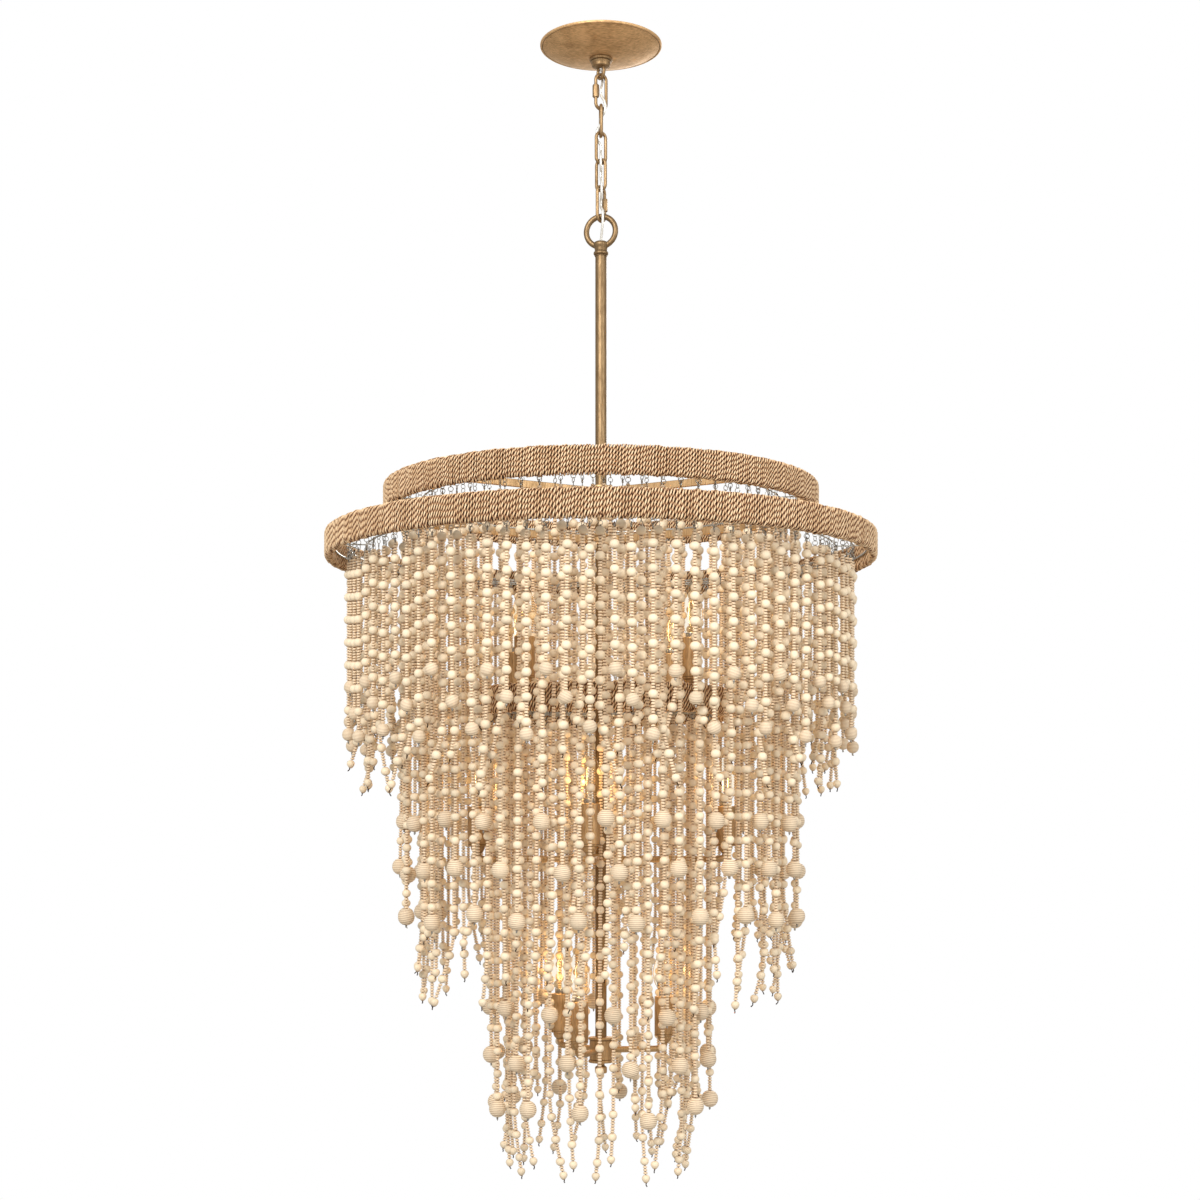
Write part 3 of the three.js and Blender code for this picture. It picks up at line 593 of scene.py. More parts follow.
def blown_glass():
    """Blown soda-lime glass, clear and thin: it shows only by a painted dark reflection at its edge and a few
    highlights.
    """
    material, tree, surface, place = finish("blown_clear_glass")
    # Blown walls wave over 17 mm or so
    wave = node(tree, "TexNoise", {"Scale": 60, "Detail": 1}, {"Vector": place})
    bump = node(tree, "Bump", {"Strength": 0.05, "Distance": 0.3 * MM}, {"Height": wave})
    # Painted reflection: at the edges the glass turns into a dark brown glossy surface, for what real glass
    # reflects and bends there
    settings = {"Base Color": (0.22, 0.17, 0.13, 1), "Specular IOR Level": 0.2, "Roughness": 0.03}
    fill(tree, surface, settings, {"Normal": bump})
    clear = node(tree, "BsdfTransparent", {"Color": (1.0, 0.97, 0.9, 1)})
    facing = node(tree, "LayerWeight", {"Blend": 0.5}).outputs["Facing"]
    span = {"From Min": 0.5, "From Max": 0.9, "To Min": 0.05, "To Max": 0.9}
    edge = node(tree, "MapRange", span, {"Value": facing})
    mixed = node(tree, "MixShader", links={"Fac": edge, "1": clear, "2": surface})
    fill(tree, tree.nodes["Material Output"], links={"Surface": mixed})
    return material


def lit_filament(colours):
    """Phosphor-coated filament, lit: an even warm yellow that is far brighter than its glass."""
    material, tree, surface, place = finish("phosphor_coated_filament")
    # Phosphor grit of 1.1 mm, coarser than the real one so that it shows
    grit = node(tree, "TexNoise", {"Scale": 900}, {"Vector": place})
    stops = [(0.3, shaded(colours.glow, 0.85)), (0.7, colours.glow)]
    tones = node(tree, "ValToRGB", {"stops": stops}, {"Fac": grit})
    settings = {"Emission Strength": 1.7, "Roughness": 0.5}
    fill(tree, surface, settings, {"Base Color": tones, "Emission Color": tones})
    return material


def floor_paint(name, text):
    """Floor paint, rolled on: matt with a very faint nap, 11 mm from dot to dot."""
    material, tree, surface, place = finish(name)
    nap = node(tree, "TexNoise", {"Scale": 90, "Detail": 2}, {"Vector": place})
    bump = node(tree, "Bump", {"Strength": 0.1, "Distance": 1 * MM}, {"Height": nap})
    stops = [(0.2, shaded(colour(text), 0.97)), (0.8, colour(text))]
    tones = node(tree, "ValToRGB", {"stops": stops}, {"Fac": nap})
    fill(tree, surface, {"Roughness": 0.85}, {"Base Color": tones, "Normal": bump})
    return material


FINISHES = {}


def finishes():
    """The finishes, made once."""
    if not FINISHES:
        colours = bpy.context.scene.chandelier_colours
        pale, tan = colours.pale_wood, colours.tan_wood
        # Strokes run up round parts, and round the spun canopy
        upright, around = (1, 1, 0.12), (0.2, 1, 1)
        FINISHES.update(
            # Lit and shaded copies of one brass: the stem and chain darkened as painted shade, the fittings
            # and canopy brightened as painted light
            brass=brushed_brass("brushed_brass_in_deep_painted_shade", colours, upright, 0.53),
            chain=brushed_brass("brushed_brass_in_some_painted_shade", colours, upright, 0.76),
            fitting=brushed_brass("brushed_brass_in_painted_light", colours, upright, 1.04),
            canopy=brushed_brass("spun_brushed_brass_in_painted_light", colours, around, 1.44, 0.14),
            rope=twisted_rope(colours),
            pale=turned_wood("turned_bleached_wood", pale, shaded(pale, 0.76), 420),
            tan=turned_wood("turned_natural_wood", tan, shaded(tan, 0.66), 520),
            silver=drawn_wire("drawn_nickel_wire", "#C4C1BA", "#85827B", 0.3),
            dark=drawn_wire("blackened_drawn_wire", "#452F20", "#21160E", 0.5),
            steel=drawn_wire("rolled_zinc_plated_steel", "#C9C9C4", "#9E9E99", 0.4),
            cord=clear_cord_finish(),
            glass=blown_glass(),
            filament=lit_filament(colours),
        )
    return FINISHES


# Pieces


def link_path(inner_length, inner_width, wire, steps=14, gap=None):
    """Centre line of a long link in the XZ plane, up its right leg and round."""
    bow = (inner_width + wire) / 2
    leg = (inner_length + wire) / 2 - bow
    points = []
    top, foot = gap or (None, None)
    if gap:
        points += [(bow, top + (leg - top) * i / LEG_STEPS) for i in range(LEG_STEPS)]
    for start, height in ((0, leg), (math.pi, -leg)):
        for i in range(steps + 1):
            a = start + math.pi * i / steps
            points.append((bow * math.cos(a), height + bow * math.sin(a)))
    if gap:
        points += [(bow, -leg + (foot + leg) * (i + 1) / 12) for i in range(12)]
    return np.array([(x, 0, z) for x, z in points]), not gap


def chain_places():
    """Heights of the hooks and of the middles of the chain's pieces."""
    sizes = bpy.context.scene.chandelier_chain
    quick, plain = sizes.quick_length, sizes.link_length
    hooks, middles = [LOOP_MIDDLE - LOOP_INNER], []
    for length in (quick, plain, plain, plain, quick):
        top = hooks[-1] + HOOK_GAP
        middles.append(top - length / 2)
        hooks.append(top - length)
    return hooks, middles


class CHANDELIER_OT_canopy(bpy.types.Operator):
    """Dished canopy with its screw collar, loop and bracket"""

    bl_idname = "chandelier.canopy"
    bl_label = "Canopy"

    def execute(self, context):
        sizes = context.scene.chandelier_chain
        look = finishes()
        radius, face, top = CANOPY
        wall, rim, hole, flat = 1.6 * MM, 2.6 * MM, 12.6 * MM, 24 * MM
        dish = [(radius - 4.2 * MM, -3.9 * MM), (radius * 0.72, -12.3 * MM), (radius * 0.45, -17.8 * MM)]
        dish = smooth_outline([*dish, (flat, face)], 8)
        bevel = [(r + radius, z) for r, z in profile(-rim, (-0.9, -1.1), (-2.6, -1.2), (-3.3, -0.4))]
        outer = [(radius, top), (radius, -rim), *bevel, *map(tuple, dish), (hole, face)]
        inner = [(hole, face + wall), (flat, face + wall)]
        inner += [(r - 0.4 * wall, z + wall) for r, z in dish[::-1]]
        inner += [(radius - wall, -rim), (radius - wall, top)]
        outline = eased([*inner, *outer, inner[0]][::-1], 0.7 * MM, 2)
        new_piece("canopy_dish", [turned_with_hollow_shade(outline, 96)], [look["canopy"]], "canopy", ["canopy"])
        collar = [
            *profile(COLLAR_TOP, (12.3, 0)),
            *profile(COLLAR_FOOT, (12.3, 0), (13, 0), (13.4, 1), (13.9, 4.4), (14.9, 6.8)),
            *profile(COLLAR_TOP, (14.7, -4.6), (14.3, -4), (16.2, -3.6), (17, -2.6), (17, 0), (12.3, 0)),
        ]
        collar = turned_with_hollow_shade(eased(collar, 0.4 * MM), 64)
        new_piece("screw_collar", [collar], [look["chain"]], "canopy_collar", ["canopy_collar"])
        shank = profile(SHANK_FOOT, (0, 0), (7.5, 0), (11.4, 0.7), (12, 1.1))
        shank += profile(0, (12, -3.3), (0, -3.3))
        wire = sizes.loop_wire / 2
        loop = turned_to(wire_ring(LOOP_INNER + wire, wire, 48, 20), BEARINGS[0])
        parts = [turn(eased(shank, 0.3 * MM), 48), moved(loop, (0, 0, LOOP_MIDDLE))]
        new_piece("canopy_ring", parts, [look["chain"]], "ceiling_mount", ["canopy_loop"])
        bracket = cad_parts["ceiling_bracket"]
        bracket.data.materials.clear()
        bracket.data.materials.append(look["steel"])
        return {"FINISHED"}


class CHANDELIER_OT_chain(bpy.types.Operator):
    """Quick links with their nuts, and the plain links between them"""

    bl_idname = "chandelier.chain"
    bl_label = "Chain"

    def execute(self, context):
        sizes = context.scene.chandelier_chain
        look = finishes()
        _, middles = chain_places()
        foot = -sizes.sleeve_length / 2 + SLEEVE_FOOT_COVER
        for i, middle in enumerate(middles):
            quick = i in (0, 4)
            wire = sizes.quick_wire if quick else sizes.link_wire
            length = sizes.quick_length if quick else sizes.link_length
            width = sizes.quick_width if quick else sizes.link_width
            gap = (foot + QUICK_GAP, foot) if quick else None
            path, closed = link_path(length, width, wire, 14, gap)
            radii = np.full(len(path), wire / 2)
            if quick:
                # The thread that the nut runs on
                heights = path[:LEG_STEPS, 2] - path[0, 2]
                wave = 0.5 + 0.5 * np.cos(heights / THREAD_PITCH * 2 * math.pi)
                radii[:LEG_STEPS] -= THREAD_DEPTH * wave * (heights < THREAD_LENGTH)
            link = turned_to(sweep(path, radii, 18, closed, (0, 1, 0)), BEARINGS[i + 1])
            link = moved(link, (0, 0, middle))
            name = CHAIN_BODIES[i + 1]
            node_name = {0: "quick_link_top", 4: "quick_link_bottom"}.get(i, f"chain_{name}")
            new_piece(f"{node_name}_wire", [link], [look["chain"]], name, [node_name])
            if quick:
                self.sleeve(sizes, look, i, middle, "top" if i == 0 else "bottom")
        return {"FINISHED"}

    def sleeve(self, sizes, look, i, middle, end):
        """Six-sided nut with chamfered ends and its bore."""
        half = sizes.sleeve_length / 2
        flat = sizes.sleeve_flats / 2
        bore = sizes.quick_wire / 2 + 0.45 * MM
        angles = np.arange(48) * (2 * math.pi / 48)
        hexagon = flat / np.cos((angles + math.pi / 6) % (math.pi / 3) - math.pi / 6)
        rows = [
            (-half, None), (-half, flat * 0.97), (-half + 0.9 * MM, flat * 1.2),
            (half - 0.9 * MM, flat * 1.2), (half, flat * 0.97), (half, None),
        ]
        points = []
        for height, limit in rows:
            r = np.full(48, bore) if limit is None else np.minimum(hexagon, limit)
            points.append(np.stack([r * np.cos(angles), r * np.sin(angles), np.full(48, height)], 1))
        part = np.concatenate(points), grid_faces(len(rows), 48, True)
        leg = (sizes.quick_width + sizes.quick_wire) / 2
        nut = moved(turned_to(moved(part, (leg, 0, 0)), BEARINGS[i + 1]), (0, 0, middle))
        nodes = [f"quick_link_{end}_sleeve"]
        new_piece(f"{end}_hex_nut", [nut], [look["chain"]], f"{end}_sleeve", nodes, 25)


class CHANDELIER_OT_cord(bpy.types.Operator):
    """Supply cord, woven past every hook of the chain"""

    bl_idname = "chandelier.cord"
    bl_label = "Supply cord"

    def execute(self, context):
        sizes = context.scene.chandelier_chain
        look = finishes()
        hooks, middles = chain_places()
        wires = [sizes.loop_wire, sizes.quick_wire, *[sizes.link_wire] * 3, sizes.quick_wire, sizes.ring_wire]
        coupling_top = hooks[-1] + HOOK_GAP - 2 * STEM_RING_INNER + COUPLING_RISE
        across = [np.array([math.cos(a), math.sin(a), 0]) for a in map(math.radians, BEARINGS)]
        for hook, height in enumerate(hooks):
            first, last = hook == 0, hook == len(middles)
            start = SHANK_FOOT - CORD_TOP_GAP if first else middles[hook - 1]
            end = coupling_top - CORD_POCKET + SEAT_GAP if last else middles[hook]
            above, below = across[hook], across[hook + 1]
            if above.dot(below) > 0:
                below = -below
            way = (above + below) / np.linalg.norm(above + below)
            clear = (max(wires[hook], wires[hook + 1]) + sizes.cord) / 2 + CORD_SIDE_GAP
            aside = way * WAYS[hook] * clear / math.sin(math.acos(way.dot(above)))
            lead = CORD_TOP_GAP if first else CORD_STRAIGHT
            tail = CORD_POCKET if last else CORD_STRAIGHT
            knots = [
                (0, 0, start), (0, 0, start - lead),
                (*aside[:2], height + wires[hook + 1] + sizes.cord / 2),
                (*aside[:2], height - wires[hook] - sizes.cord / 2),
                (0, 0, end + tail), (0, 0, end),
            ]
            path = self.through(knots, 9)
            piece = new_piece(
                f"supply_cord_{hook + 1}_sheath", [sweep(path, sizes.cord / 2, 14)], [look["cord"]],
                None, [f"supply_cord_{hook + 1}"],
            )
            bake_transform(piece)
        return {"FINISHED"}

    def through(self, knots, steps):
        """Centripetal curve through the knots."""
        p = np.array(knots, float)
        p = np.concatenate([[2 * p[0] - p[1]], p, [2 * p[-1] - p[-2]]])
        found = []
        for a, b, c, d in zip(p, p[1:], p[2:], p[3:], strict=False):
            gaps = [max(np.linalg.norm(y - x), 1e-9) ** 0.5 for x, y in ((a, b), (b, c), (c, d))]
            t1 = ((b - a) / gaps[0] - (c - a) / (gaps[0] + gaps[1]) + (c - b) / gaps[1]) * gaps[1]
            t2 = ((c - b) / gaps[1] - (d - b) / (gaps[1] + gaps[2]) + (d - c) / gaps[2]) * gaps[1]
            for t in np.linspace(0, 1, steps, endpoint=False):
                found.append(
                    b + t1 * t + (3 * (c - b) - 2 * t1 - t2) * t**2 + (2 * (b - c) + t1 + t2) * t**3
                )
        return np.array([*found, p[-2]])


class CHANDELIER_OT_stem(bpy.types.Operator):
    """Ring, flared coupling and stem"""

    bl_idname = "chandelier.stem"
    bl_label = "Stem"

    def execute(self, context):
        sizes = context.scene.chandelier_chain
        look = finishes()
        hooks, _ = chain_places()
        middle = hooks[-1] + HOOK_GAP - STEM_RING_INNER
        top = middle - STEM_RING_INNER + COUPLING_RISE
        foot = top - 22 * MM
        wire = sizes.ring_wire / 2
        ring = turned_to(wire_ring(STEM_RING_INNER + wire, wire, 72, 24), BEARINGS[-1])
        coupling = [
            (3 * MM, top - CORD_POCKET),
            *profile(top, (3, 0), (7.4, 0), (9.8, -1.2), (11.1, -3.6), (11, -6), (9.7, -9.6)),
            *profile(foot, (9.1, 8.2), (8.8, 7.2), (10.2, 6.8), (11, 5.4), (11, 3.4), (10.2, 2.2)),
            *profile(foot, (8.9, 1.7), (9.4, 1), (9.4, 0), (3, 0)),
        ]
        parts = [moved(ring, (0, 0, middle)), turned_with_hollow_shade(eased(coupling, 0.6 * MM)[::-1], 64)]
        new_piece("stem_ring", parts, [look["brass"]], FIXTURE, ["stem_loop"])
        low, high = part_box("stem")
        outer, inner = sizes.stem, sizes.stem - STEM_WALL
        tube = [(inner, low.z), (outer, low.z), (outer, high.z), (inner, high.z), (inner, low.z)]
        new_piece("stem_tube", [turn(tube, 48)], [look["brass"]], FIXTURE, ["stem"])
        return {"FINISHED"}


def hub(radius, top, foot, bore=HUB_BORE):
    """Turned hub with a bead at each end."""
    lip, body = 1.2 * MM, radius - 1.6 * MM
    outline = [
        (bore, foot), (body, foot), (radius, foot + lip * 0.6), (radius, foot + 3 * lip),
        (body, foot + 3.6 * lip), (body, top - 3.6 * lip), (radius, top - 3 * lip),
        (radius, top - lip * 0.6), (body, top), (bore, top),
    ]
    if bore:
        outline.append((bore, foot))
    return turned_with_hollow_shade(eased(outline, 0.35 * MM, 2), 48)


def bar(start, end, width, height, top):
    """Flat bar along +X with eased long edges."""
    e, w = 0.8 * MM, width / 2
    half = [(-w + e, 0), (-w, -e), (-w, e - height), (-w + e, -height)]
    section = [*half, *((-y, z) for y, z in half[::-1])]
    points = np.array([(x, y, top + z) for x in (start, end) for y, z in section])
    ends = np.arange(len(section))[None]
    return points, [grid_faces(2, len(section))[:, ::-1], ends, len(section) + ends[:, ::-1]]


class CHANDELIER_OT_hoops(bpy.types.Operator):
    """Three hoops wound with two-ply rope, and their spokes"""

    bl_idname = "chandelier.hoops"
    bl_label = "Rope hoops"

    def execute(self, context):
        sizes = context.scene.chandelier_hoops
        look = finishes()
        for tier, (radius, foot, top) in HOOPS.items():
            twists = sizes.upper_twists if tier == "upper" else sizes.lower_twists
            points, values = self.winding(sizes, radius, foot, top, twists)
            count = len(points)
            for arc in range(HOOP_ARCS):
                rows = np.arange(count * arc // HOOP_ARCS, count * (arc + 1) // HOOP_ARCS + 1) % count
                shades = {key: value[rows].ravel() for key, value in values.items()}
                parts = [(points[rows].reshape(-1, 3), grid_faces(len(rows), ROPE_SIDES), 0, shades)]
                covered = []
                if arc == 0:
                    parts.append(self.core(sizes, radius, foot, top))
                    covered.append(f"{tier}_rope_hoop")
                name = f"{tier}_wound_hoop_{arc + 1}"
                new_piece(name, parts, [look["rope"], look["brass"]], FIXTURE, covered, 0)
        for tier in ("upper", "lower"):
            self.spokes(sizes, look, tier)
        return {"FINISHED"}

    def core(self, sizes, radius, foot, top):
        """The flat steel band inside the winding."""
        rope = sizes.rope
        outer, inner = radius - rope, radius - sizes.thickness + rope
        low, high = foot + rope, top - rope
        outline = [(inner, low), (outer, low), (outer, high), (inner, high), (inner, low)]
        return (*turn(outline, 144), 1)

    def winding(self, sizes, radius, foot, top, twists):
        """One rope in close turns round the band, as two plies twisted on each other."""
        rope = sizes.rope / 2
        # The winding stands a little in, so that its thickest turns stay in the solid's box
        middle = radius - sizes.thickness / 2 - 0.15 * MM
        half_height, half_width = (top - foot) / 2 - rope, sizes.thickness / 2 - rope
        straight = 2 * (half_height - half_width)
        bend = math.pi * half_width
        turns = round(2 * math.pi * middle / sizes.turn_pitch)
        each = twists * TWIST_STEPS
        count = turns * each
        t = np.arange(count) / each
        # Distance round the stadium section gives depth and height of the rope's middle. Its
        # second half is the first half turned about.
        s = (t % 1) * 2 * (straight + bend)
        side = np.where(s < straight + bend, 1, -1)
        s = np.where(side > 0, s, s - straight - bend)
        a = np.maximum(s - straight, 0) / half_width
        x = side * half_width * np.cos(a)
        z = side * (np.minimum(s, straight) - straight / 2 + half_width * np.sin(a))
        rng = np.random.default_rng(bpy.context.scene.chandelier_beads.seed + int(radius / MM))

        def drawn(values, each_turn=1):
            """Random values at even steps of the winding, joined by straight lines."""
            return np.interp(t * each_turn, np.arange(len(values)), values)

        wander = drawn(rng.normal(0, 1, turns + 1)) * 0.05
        swell = 1 + np.minimum(0.075 * drawn(rng.normal(0, 1, 4 * turns + 1), 4), 0.07)
        angle = 2 * math.pi * (t + wander) / turns
        out = np.stack([np.sin(angle), -np.cos(angle), np.zeros(count)], 1)
        along = np.stack([np.cos(angle), np.sin(angle), np.zeros(count)], 1)
        # Turns ride a little up and down on the band, so that its edges look bumpy
        ride = 1 + 0.028 * drawn(rng.normal(0, 1, turns + 1))
        centre = out * (middle + x)[:, None]
        centre[:, 2] = (top + foot) / 2 + z * ride
        # Sideways is along the hoop, and outward is away from the band's core
        reach = np.stack([x, z - np.clip(z, -straight / 2, straight / 2)], 1)
        reach /= np.linalg.norm(reach, axis=1)[:, None]
        outward = out * reach[:, :1]
        outward[:, 2] = reach[:, 1]
        k = np.arange(ROPE_SIDES) * (2 * math.pi / ROPE_SIDES)
        twist = drawn(np.cumsum(rng.normal(0, 2.4, turns + 1))) + 2 * math.pi * twists * t
        # Two round plies side by side, seen in section
        turned = k[None] - twist[:, None]
        r = (rope * swell)[:, None] * np.sqrt(0.28 + 0.72 * np.cos(turned) ** 2)
        points = (
            centre[:, None]
            + (r * np.cos(k)[None])[:, :, None] * outward[:, None]
            + (r * np.sin(k)[None])[:, :, None] * along[:, None]
        )
        # Painted shade on the side of the rope that lies against the band: there it takes the seams' dark
        # colour
        against_band_shade = np.clip(0.36 + 0.84 * np.cos(k), 0, 1)
        lot = drawn(rng.random(2 * turns + 1), 2)
        return points, {"cosine": np.cos(turned) * against_band_shade, "lot": np.repeat(lot[:, None], ROPE_SIDES, 1)}

    def spokes(self, sizes, look, tier):
        """Hub on the stem with flat bars out to the hoop, riveted at both ends."""
        radius, _, top = HOOPS[tier]
        top -= 2 * MM
        width, height = 5 * MM, 11 * MM
        reach = radius - sizes.thickness - 0.6 * MM
        head = turn(eased(profile(0, (2.9, 0), (2.9, 0.5), (1.6, 1.5), (0, 1.7)), 0.3 * MM), 14)
        x, y, z = head[0].T
        parts = [hub(HUB_RADIUS, top + 3 * MM, top - 14 * MM)]
        for bearing in SPOKE_BEARINGS:
            parts.append(moved(bar(HUB_RADIUS - 1.5 * MM, reach, width, height, top), bearing=bearing))
            for place in (HUB_RADIUS + 12 * MM, reach - 14 * MM):
                for side in (1, -1):
                    points = [x + place, side * (z + width / 2 - 0.1 * MM), y + top - height / 2]
                    faces = head[1] if side < 0 else head[1][:, ::-1]
                    parts.append(moved((np.stack(points, 1), faces), bearing=bearing))
        new_piece(f"{tier}_spoke_bars", parts, [look["fitting"]], FIXTURE, [f"{tier}_hoop_spokes"])


# Rows stand half a step apart. A phase is in steps, and a short strand comes first, then a
# middle one and a long one. Strands stand clear of the bars or arms that pass between them.
TIERS = {
    "lower": {
        "row": 370 * MM, "seam": 1.07, "count": 84, "phase": 0.5, "bead": 1.03, "first": 9.8 * MM,
        "large": 9.2 * MM, "passing": [], "room": 0,
        "drops": (197 * MM, 237 * MM, 275 * MM), "tips": (315 * MM, 270 * MM, 354 * MM),
    },
    "upper": {
        "row": 289 * MM, "seam": -1.36, "count": 66, "phase": 0, "bead": 0.97, "first": 26 * MM,
        "large": 12 * MM, "passing": SPOKE_BEARINGS, "room": 9 * MM,
        "drops": (460 * MM, 533 * MM, 600 * MM), "tips": (684 * MM, 640 * MM, 727 * MM),
    },
    "inner": {
        "row": 163 * MM, "seam": 6.2, "count": 36, "phase": 0.37, "bead": 0.95, "first": 26 * MM,
        "large": 12.4 * MM, "passing": LAMPS["middle"]["bearings"], "room": 12.5 * MM,
        "drops": (435 * MM, 504 * MM, 573 * MM), "tips": (655 * MM, 575 * MM, 674 * MM),
    },
}


def clear_bearing(bearing, radius, passing, room):
    """Bearing of a strand once it stands clear of what passes through its row."""
    for thing in passing:
        aside = (bearing - thing + 540) % 360 - 180
        least = math.degrees(room / radius)
        if abs(aside) < least:
            return thing + math.copysign(least, aside)
    return bearing


class CHANDELIER_OT_strands(bpy.types.Operator):
    """Hanger flanges, rings, wires and every bead of the three tiers"""

    bl_idname = "chandelier.strands"
    bl_label = "Bead strands"

    def execute(self, context):
        sizes = context.scene.chandelier_beads
        hoops = context.scene.chandelier_hoops
        for tier, facts in TIERS.items():
            radius, foot, _ = HOOPS[tier]
            bottom = foot + FLANGE_RISE
            self.flange(tier, facts, radius - hoops.thickness - SEAT_GAP, bottom)
            for row in ("outer", "inside"):
                rng = np.random.default_rng(sizes.seed + 97 * len(tier) + (5 if row == "outer" else 11))
                each = facts["count"] // SECTORS
                for sector in range(SECTORS):
                    strands = range(sector * each, (sector + 1) * each)
                    self.row(sizes, tier, facts, row, bottom, rng, strands, sector + 1)
        return {"FINISHED"}

    def flange(self, tier, facts, outer, bottom):
        """Open hanger frame inside the hoop: a rim, one flat ring for each row, and ties."""
        bottom += FRAME_ABOVE
        top = bottom + FLANGE_THICKNESS
        e = 0.5 * MM
        rows = (facts["row"], facts["row"] - ROW_SPACING)
        rings = [(outer - 2.4 * MM, outer), *((r - 0.7 * MM, r + 0.7 * MM) for r in rows)]
        parts = []
        for inner, rim in rings:
            outline = [
                (inner, bottom + e), (inner + e, bottom), (rim - e, bottom), (rim, bottom + e),
                (rim, top - e), (rim - e, top), (inner + e, top), (inner, top - e), (inner, bottom + e),
            ]
            parts.append(turn(outline, 180))
        # Ties lie between the faces of the rings
        tie = bar(rows[1], outer - 1 * MM, 2 * MM, FLANGE_THICKNESS - 0.4 * MM, top - 0.2 * MM)
        parts += [moved(tie, bearing=facts["seam"] + i * 360 / TIE_COUNT) for i in range(TIE_COUNT)]
        nodes = [f"{tier}_hoop_strands_{i}" for i in range(1, SECTORS + 1)]
        new_piece(f"{tier}_hanger_frame", parts, [finishes()["steel"]], FIXTURE, nodes)

    def row(self, sizes, tier, facts, row, bottom, rng, strands, sector):
        """A sixth of one row of strands: its metal, its beads, and their low ends."""
        look = finishes()
        outside = row == "outer"
        step = 360 / facts["count"]
        radius = facts["row"] - (0 if outside else ROW_SPACING)
        medium = sizes.medium * facts["bead"]
        half = medium * MEDIUM_HALF
        small = (sizes.pitch - 2 * half) / sizes.small_count
        # Places of the beads and of the metal, by kind
        found = {key: [] for key in ("medium", "small", "large", "cone", "ring", "crimp", "string", "wire")}
        for i in strands:
            bearing = step * (i + facts["phase"] + (0 if outside else 0.5)) + rng.normal(0, step * 0.07)
            bearing = clear_bearing(bearing, radius, facts["passing"], facts["room"])
            place = at(radius + rng.normal(0, 0.7 * MM), bearing, bottom)
            self.strand(found, sizes, facts, outside, place, i % 3, half, small, rng)
        parts = []
        for kind, outline, sides, index, limit in (
            ("medium", self.scaled(MEDIUM_BEAD, medium / 2, half), 12, PALE, 0.05),
            ("small", self.scaled(SMALL_BEAD, sizes.small / 2, small / 2), 8, TAN, 0.11),
        ):
            n = len(found[kind])
            wide = rng.normal(1, 0.035, n)
            scales = np.stack([wide, wide, rng.normal(1, 0.02, n)], 1)
            # Painted shade: beads are dark at the string holes, where they meet their neighbours, and a
            # little dark beside them
            shade = [1, 0.4, *[0] * (len(outline) - 4), 0.4, 1]
            tilts = rng.uniform(-limit, limit, (n, 2))
            lots = np.clip(rng.normal(0.62, 0.2, n), 0, 1)
            parts.append(self.turned(outline, sides, found[kind], shade, lots, index, scales, tilts))
        n = len(found["large"])
        if n:
            tilts = rng.normal(0, 0.09, (n, 2))
            lots = np.clip(rng.normal(0.6, 0.12, n), 0, 1)
            outline, shade = self.grooved(facts["large"])
            parts.append(self.turned(outline, 20, found["large"], shade, lots, PALE, None, tilts))
        else:
            lots = rng.uniform(0.3, 0.9, len(found["cone"]))
            parts.append(self.turned(profile(0, *CONE), 12, found["cone"], CONE_SHADE, lots, PALE))
        parts += self.metal(found)
        kinds = [look[name] for name in ("pale", "tan", "silver", "dark")]
        new_piece(f"{tier}_{row}_strands_{sector}", parts, kinds, FIXTURE, (), 0)

    def strand(self, found, sizes, facts, outside, place, kind, half, small, rng):
        """Adds one strand's beads and metal to what is found. Strands come in three lengths."""
        lean = rng.normal(0, 0.006, 2)
        jitter = rng.normal(0, 2.2 * MM)
        large = facts["large"] * LARGE_HALF
        if outside:
            end = facts["drops"][kind] + jitter - large
        else:
            end = facts["tips"][kind] + min(jitter, 0) - CONE_ROOM
        bend = np.clip(rng.normal(0, 0.19, 2), -0.38, 0.38) * (0 if outside else 1)
        loose = end - rng.uniform(60, 110) * MM

        def spot(drop):
            """Place on the strand at a drop. Its free low end bends aside."""
            free = max(drop - loose, 0)
            return place + np.array([*(lean * drop + bend * free**2 / (free + 40 * MM)), -drop])

        way = rng.uniform(0, math.pi)
        for n in range(RING_COUNT):
            ring_drop = (1.6 if outside else 0.2) * MM - n * RING_PITCH
            turned = way + n * math.pi / 2 + rng.normal(0, 0.3)
            found["ring"].append((spot(ring_drop), turned, rng.uniform(0.92, 1.06)))
        if outside:
            found["crimp"].append(spot(7 * MM))
        string = [2 * MM, 4 * MM, loose, *np.linspace(loose, end + 4 * MM, 7)[1:]]
        found["string"].append([spot(drop) for drop in string])
        # The first pale bead hangs at about the same height in the whole row, with small
        # beads above it as far up as the crimp or the ring
        start = (9 if outside else 4) * MM
        first = (32 * MM if outside else facts["first"]) + rng.normal(0, 4.4 * MM)
        drop = first - half - small / 2
        while drop - small / 2 > start:
            found["small"].append(spot(drop))
            drop -= small
        drop = first
        while drop + half < end + 1 * MM:
            found["medium"].append(spot(drop))
            reached = drop + half
            for _ in range(sizes.small_count):
                if reached + small < end + 1 * MM:
                    found["small"].append(spot(reached + small / 2))
                    reached += small
            drop = reached + half + rng.normal(0, 0.15 * MM)
        if outside:
            found["large"].append(spot(reached + large))
            tail = reached + 2 * large
            found["crimp"].append(spot(tail + 1.5 * MM))
            wire = (spot(tail), rng.normal(0, 0.25, 2), rng.uniform(3.5, 5.5) * MM, SILVER)
        else:
            found["cone"].append(spot(reached + 6 * MM))
            wire = (spot(reached + 11.6 * MM), bend + rng.normal(0, 0.2, 2), rng.uniform(4, 6) * MM, DARK)
        found["wire"].append(wire)

    def scaled(self, shares, radius, half):
        """Half-section of a bead from shares of its radius and of half its length."""
        return [(radius * r, half * z) for r, z in shares]

